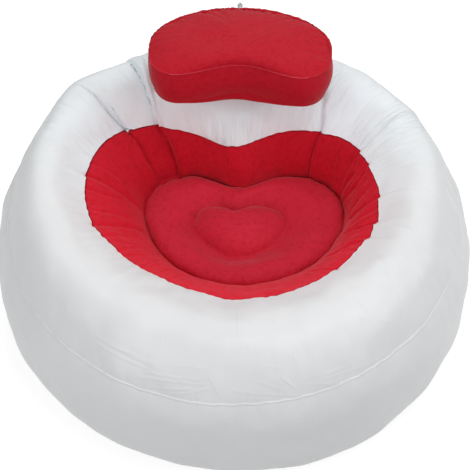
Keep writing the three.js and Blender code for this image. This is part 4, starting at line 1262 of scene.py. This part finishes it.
def pillow_tuck(place):
    """Rows of the pillow before a seam, laid below it."""
    weld = pillow_row(place)
    away = np.abs(past_seam(place)).mean(1)
    rows = [j for j in range(weld) if away[j] < WELD_LAP] + [weld]
    return pillow[rows] - pillow_normals[rows] * (FLOCK + GAP)


first_seam = pillow_row(0)
second_seam = pillow_row(1)
top_rows = pillow[:first_seam + 1]
band_rows = np.concatenate([pillow_tuck(0), pillow[first_seam + 1:second_seam + 1]])
bottom_rows = np.concatenate([pillow_tuck(1), pillow[second_seam + 1:]])
# The top's seam line has a painted highlight at the front and painted shade at the back and the sides
seam_highlight, seam_shade = np.zeros((2, *top_rows.shape[:2]), bool)
seam_highlight[-SEAM_ROWS:] = backness < SEAM_FRONT
seam_shade[-SEAM_ROWS:] = backness > SEAM_BACK
seams = [(seam_highlight, SEAM_HIGHLIGHT), (seam_shade, WELD_EDGE_SHADE)]
PILLOW = ("pillow", "red_flock", PILLOW_FILL, RED_PILLOW)
panel("pillow_top_panel", top_rows, FLOCK, seams, *PILLOW, (tuple(pillow[0].mean(0)), None))
panel("pillow_side_band", band_rows, FLOCK, [], *PILLOW, hole=PILLOW_VALVE_SEAT)
panel("pillow_bottom_panel", bottom_rows, FLOCK, [], *PILLOW, (None, tuple(pillow[-1].mean(0))))


# Tension bands inside the chair, with vents
BAND_ROWS = 10
BAND_STRIDE = 4


def band(name, place, inset, vents):
    row = row_of(place)
    if inset:
        row = int(np.argmin(np.abs((lengths[row] - lengths).mean(1) - inset)))
    head = skin[row] - skin_normals[row] * (FLOCK + 2 * GAP)
    levels = np.linspace(0, 1, BAND_ROWS)[:, None, None]
    foot = head.copy()
    foot[:, 2] = FILM + GAP
    rows = (foot[None] * (1 - levels) + head[None] * levels)[:, ::BAND_STRIDE]
    obj = shell(name + "_skin", rows, FILM, WHITE)
    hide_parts(name)
    for n in range(vents):
        at = head[int((n + 0.5) * len(head) / vents)]
        drilled(obj, (at[0], at[1], (at[2] + FILM) / 2), (at[0], at[1] - SEAT_BACK, 0), VENT_RADIUS)
    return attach(obj, "chair")


band("seat_tension_band", 0, BAND_INSET, SEAT_VENTS)
band("centre_tension_band", -1, 0, CENTRE_VENTS)

# The CAD's moulded pieces keep their shape
MOULDED = {
    "valve_base": VALVE, "valve_insert": VALVE, "valve_flap": VALVE, "valve_cap": VALVE,
    "pillow_valve_collar": CLEAR, "pillow_valve_stem": CLEAR, "pillow_valve_plug": CLEAR,
}
for name, material in MOULDED.items():
    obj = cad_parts[name]
    obj.data.materials.clear()
    obj.data.materials.append(material)

# Floor and backdrop: white to the camera, with the chair's soft shadow
FLOOR_HALF = 7
STAGE_GLOW = 0.72
STAGE_GREY = 0.5


def stage_material():
    material = bpy.data.materials.new("stage_white")
    material.use_nodes = True
    tree = material.node_tree
    tree.nodes.clear()
    path = added(tree, "LightPath", {}).outputs
    seen = number("MAXIMUM", path["Is Camera Ray"], path["Is Glossy Ray"])
    seen = number("MAXIMUM", seen, path["Is Transmission Ray"])
    glow = added(tree, "Emission", {"Strength": number("MULTIPLY", seen, STAGE_GLOW)})
    diffuse = added(tree, "BsdfDiffuse", {"Color": (STAGE_GREY, STAGE_GREY, STAGE_GREY, 1)})
    total = added(tree, "AddShader", {0: diffuse.outputs[0], 1: glow.outputs[0]})
    added(tree, "OutputMaterial", {"Surface": total.outputs[0]})
    return material


corners = [(-FLOOR_HALF, -FLOOR_HALF), (FLOOR_HALF, -FLOOR_HALF), (FLOOR_HALF, FLOOR_HALF),
           (-FLOOR_HALF, FLOOR_HALF)]
floor = make_object("stage_floor", [(x, y, -GAP) for x, y in corners], [(0, 1, 2, 3)], stage_material())

# World: white behind the chair, and an even fill light
WORLD_FILL = 0.33
world = bpy.data.worlds.new("studio")
bpy.context.scene.world = world
world.use_nodes = True
tree = world.node_tree
seen = added(tree, "LightPath", {}).outputs["Is Camera Ray"]
filled(tree.nodes["Background"], {
    "Color": (1, 1, 1, 1),
    "Strength": ranged(seen, (0, 1), WORLD_FILL, 1),
})


# Lamps, as (name, size, power, place), and the camera
AIM = (0, 0, 0.3)
LAMPS = [
    ("key", 1.8, 18.8, (0.5, -0.2, 2.8)),
    ("front_left", 2.4, 30, (-1.6, -2.2, 1.9)),
    ("right", 1.6, 13, (2.2, -0.6, 1.6)),
    ("front_right", 2.0, 7, (1.8, -2.0, 1.6)),
    ("back", 2.0, 19, (0, 1.8, 2.2)),
]


def aimed(name, data, at, aim):
    """A lamp or camera at one place that looks at another."""
    obj = bpy.data.objects.new(name, data)
    obj.location = at
    obj.rotation_euler = (Vector(aim) - Vector(at)).to_track_quat("-Z", "Y").to_euler()
    bpy.context.scene.collection.objects.link(obj)
    return obj


for name, size, power, at in LAMPS:
    data = bpy.data.lights.new(name, "AREA")
    data.shape = "DISK"
    data.size = size
    data.energy = power
    aimed(name, data, at, AIM)

data = bpy.data.cameras.new("camera")
data.lens = CAMERA_LENS
rise = CAMERA_ELEVATION * DEGREE
camera_at = Vector(CAMERA_TARGET) + Vector((0, -math.cos(rise), math.sin(rise))) * CAMERA_DISTANCE
bpy.context.scene.camera = aimed("camera", data, camera_at, CAMERA_TARGET)
bpy.context.scene.view_settings.view_transform = "Standard"
